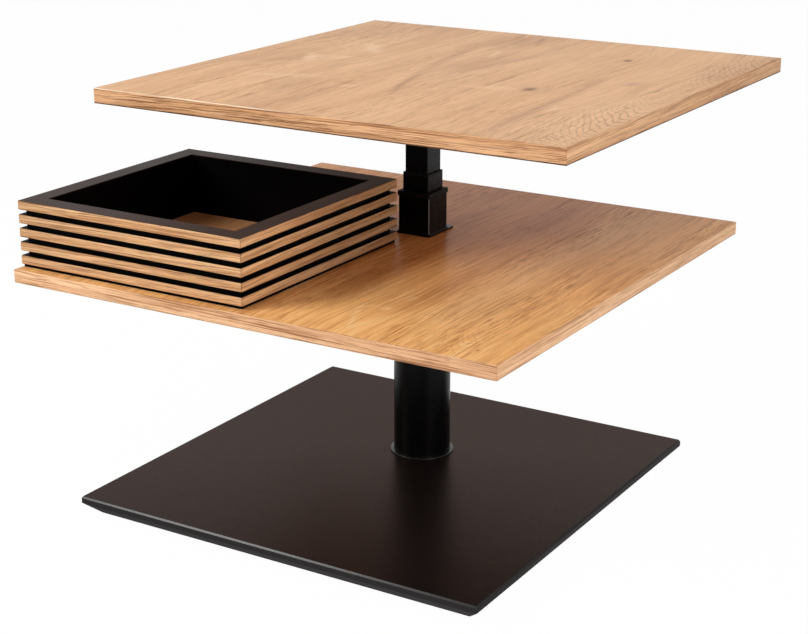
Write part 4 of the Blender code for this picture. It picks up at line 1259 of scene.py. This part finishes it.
@dataclass
class Lamp:
    """A soft square lamp."""

    name: str
    place: Point
    aim: Point
    side: float
    power: float

    def build(self) -> None:
        """Adds the lamp to the scene."""
        data = bpy.data.lights.new(self.name, "AREA")
        data.shape = "SQUARE"
        data.size = self.side
        data.energy = self.power
        lamp = bpy.data.objects.new(self.name, data)
        lamp.location = self.place
        way = Vector(self.aim) - Vector(self.place)
        lamp.rotation_euler = way.to_track_quat("-Z", "Y").to_euler()
        bpy.context.scene.collection.objects.link(lamp)
        LOG.info("%s: lamp", self.name)


@dataclass
class Studio:
    """The pale floor, the white surroundings, the lamps and the camera."""

    floor_side: float = 40.0
    floor_white: float = 0.985
    floor_dark: Colour = (0.88, 0.88, 0.88, 1.0)
    floor_pale: Colour = (0.90, 0.90, 0.90, 1.0)
    sky_level: float = 0.15
    eye: Point = (1.27283, -2.13562, 1.06037)
    heading: float = 0.54857
    dip: float = 0.31736
    focal_pixels: float = 1748.97
    sensor: float = 36.0
    lamps: Tuple[Lamp, ...] = (
        Lamp("overhead_softbox", (0.4, 0.3, 2.4), (0.0, 0.0, 0.6), 2.0, 20.0),
        Lamp("left_softbox", (-2.05, -2.2, 2.05), (0.1, -0.1, 0.4), 1.6, 98.0),
        Lamp("right_softbox", (2.2, -1.4, 2.0), (0.1, -0.1, 0.4), 1.4, 14.5),
        Lamp("low_softbox", (2.7, -1.3, 0.50), (0.2, -0.1, 0.4), 0.9, 29.0),
    )

    @staticmethod
    def _seen(g: Graph) -> Sock:
        """Gives 1 where a camera, glossy or transmitted ray looks, and 0 for lighting."""
        camera = g.node("ShaderNodeLightPath", output="Is Camera Ray")
        return camera.largest(camera.sibling("Is Glossy Ray")).largest(camera.sibling("Is Transmission Ray"))

    def _surroundings(self) -> None:
        """Makes the world white to look at and dimmer as a light."""
        world = bpy.data.worlds.new("White surroundings")
        world.use_nodes = True
        bpy.context.scene.world = world
        g = Graph(world.node_tree)
        strength = self.sky_level + (1 - self.sky_level) * self._seen(g)
        sky = g.node("ShaderNodeBackground", inputs={"Color": WHITE, "Strength": strength})
        g.node_end("ShaderNodeOutputWorld", sky)

    def _floor(self) -> None:
        """Lays the pale floor, which stays white to look at but keeps the shadow."""
        half = self.floor_side / 2
        mesh = bmesh.new()
        corners = ((-half, -half), (half, -half), (half, half), (-half, half))
        mesh.faces.new([mesh.verts.new((x, y, 0)) for x, y in corners])
        data = bpy.data.meshes.new("studio_floor")
        mesh.to_mesh(data)
        mesh.free()
        material = bpy.data.materials.new("Pale studio floor")
        material.use_nodes = True
        g = Graph(material.node_tree)
        cloud = g.noise(g.point(), even(3.0))
        pale = g.mix(cloud, self.floor_dark, self.floor_pale)
        matt = g.node("ShaderNodeBsdfDiffuse", inputs={"Color": pale})
        white = g.node("ShaderNodeEmission", inputs={"Color": WHITE, "Strength": 1.0})
        mixed = g.node("ShaderNodeMixShader", inputs={0: self._seen(g) * self.floor_white, 1: matt, 2: white})
        g.node_end("ShaderNodeOutputMaterial", mixed)
        data.materials.append(material)
        floor = bpy.data.objects.new("studio_floor", data)
        bpy.context.scene.collection.objects.link(floor)

    def _camera(self) -> None:
        """Sets the camera at the photograph's viewing angle."""
        data = bpy.data.cameras.new("photo_camera")
        data.sensor_fit = "HORIZONTAL"
        data.sensor_width = self.sensor
        data.lens = self.focal_pixels * self.sensor / IMAGE_SIZE[0]
        camera = bpy.data.objects.new("photo_camera", data)
        camera.location = self.eye
        camera.rotation_euler = (math.pi / 2 - self.dip, 0.0, self.heading)
        bpy.context.scene.collection.objects.link(camera)
        bpy.context.scene.camera = camera

    def build(self) -> None:
        """Sets the whole studio up."""
        bpy.context.scene.view_settings.view_transform = "Standard"
        self._surroundings()
        self._floor()
        self._camera()
        for lamp in self.lamps:
            lamp.build()


TOP_VENEER = OakVeneer(
    "Oak top veneer", screen(228, 180, 133), screen(210, 159, 112), screen(118, 74, 45), screen(168, 120, 88),
    screen(238, 196, 154), seed=1.0, specular=0.03, strand_weight=0.16, streak_weight=0.7, pore_weight=0.62,
    arch_weight=0.75, dash_weight=0.6, line_weight=0.8,
    arches=(
        Arches((0.356, -0.12), (0.055, 0.15)),
        Arches((0.328, -0.245), (0.040, 0.040), opens=-1.0, spacing=0.012),
        Arches((0.372, 0.30), (0.050, 0.13)),
    ),
    smoke_and_shade_marks=strokes(
        (0.251, -0.275, 0.235, -0.06, 0.012, 0.55), (0.235, -0.06, 0.208, 0.15, 0.010, 0.50),
        (0.261, 0.115, 0.265, 0.15, 0.008, 0.55), (-0.002, -0.083, -0.036, 0.046, 0.006, 0.75),
        (-0.036, 0.046, -0.077, 0.285, 0.010, 0.45), (-0.006, 0.04, 0.052, 0.32, 0.012, 0.40),
        (-0.012, 0.10, -0.005, 0.27, 0.030, 0.40), (-0.008, 0.36, -0.035, 0.45, 0.006, 0.50),
        (-0.09, 0.30, -0.02, 0.45, 0.060, 0.25), (-0.33, 0.28, -0.30, 0.44, 0.050, 0.25),
    ),
    fleck_and_light_marks=strokes(
        (-0.194, 0.173, -0.244, 0.246, 0.016, 0.95), (-0.243, 0.056, -0.268, 0.115, 0.010, 0.8),
        (-0.243, 0.085, -0.204, 0.120, 0.018, 0.7), (-0.015, 0.227, -0.029, 0.285, 0.006, 0.6),
        (0.085, -0.005, 0.135, 0.025, 0.030, 0.5), (0.255, -0.095, 0.246, -0.062, 0.008, 0.6),
        (-0.24, -0.08, -0.16, -0.04, 0.030, 0.5), (-0.084, -0.095, -0.066, -0.075, 0.010, 0.5),
        (0.320, -0.30, 0.320, 0.05, 0.070, 0.45),
    ),
    knots=(Knot(0.159, 0.024, 0.010, 0.013), Knot(0.180, 0.3075, 0.006, 0.008)),
)
SHELF_VENEER = OakVeneer(
    "Oak shelf veneer", screen(247, 189, 121), screen(228, 167, 101), screen(148, 80, 36),
    screen(184, 119, 65), screen(248, 206, 148), seed=5.0, pore_weight=0.95, fibre_weight=0.6,
    strand_weight=0.26, arch_weight=0.40, hair_weight=0.46, cloud_weight=0.28, sway=0.034, shiver=0.010,
    arches=(
        Arches((0.153, -0.360), (0.026, 0.075), arm=0.005, turn=0.006),
        Arches((0.307, -0.405), (0.032, 0.040), spacing=0.012, arm=0.005),
    ),
    # The first five marks, beside the box, behind it and behind the post, are painted shade; the last three
    # are darker grain.
    smoke_and_shade_marks=strokes(
        (0.000, -0.47, 0.000, -0.02, 0.024, 0.90), (0.055, -0.34, 0.070, -0.02, 0.034, 0.50),
        (0.135, 0.06, 0.130, 0.29, 0.035, 0.45), (-0.29, 0.19, -0.29, 0.31, 0.100, 0.70),
        (-0.08, 0.17, -0.08, 0.31, 0.090, 0.45), (0.070, -0.33, 0.074, -0.12, 0.012, 0.15),
        (0.165, -0.36, 0.180, -0.08, 0.020, 0.50), (0.275, -0.40, 0.272, -0.20, 0.008, 0.45),
    ),
    # The last two marks, broad and running along x of about 0.24, are painted light where light reaches under
    # the top; the others are pale grain.
    fleck_and_light_marks=strokes(
        (0.150, -0.350, 0.152, -0.335, 0.006, 0.6), (0.231, -0.365, 0.233, -0.350, 0.006, 0.5),
        (0.152, -0.432, 0.121, -0.362, 0.004, 0.7), (0.152, -0.432, 0.172, -0.355, 0.004, 0.5),
        (0.117, -0.358, 0.135, -0.335, 0.004, 0.7), (0.304, -0.420, 0.306, -0.404, 0.007, 0.6),
        (0.157, -0.300, 0.158, -0.280, 0.005, 0.5), (0.236, -0.34, 0.236, 0.29, 0.034, 0.50),
        (0.245, 0.05, 0.250, 0.33, 0.050, 0.55),
    ),
    knots=(Knot(0.329, -0.424, 0.002, 0.003),),
)


def main() -> None:
    """Builds and dresses the table, then its studio."""
    logging.basicConfig(level=logging.INFO, format="%(message)s")
    band = (screen(232, 183, 139), screen(211, 159, 115), screen(120, 76, 46))
    pale_band = (screen(241, 195, 152), screen(228, 178, 136), screen(150, 98, 62))
    assemblies = (
        Base(),
        Column(),
        Board("shelf", SHELF_VENEER, pale_band, Body.STAND, Slot.GOLDEN_OAK, drift=-0.008, under=0.25),
        Telescope(),
        LiftHead(),
        Board("top", TOP_VENEER, band, Body.TOP, Slot.LIGHT_OAK, glint=0.9),
        SlattedBox(),
        Studio(),
    )
    for assembly in assemblies:
        assembly.build()


if __name__ == "__main__":
    main()
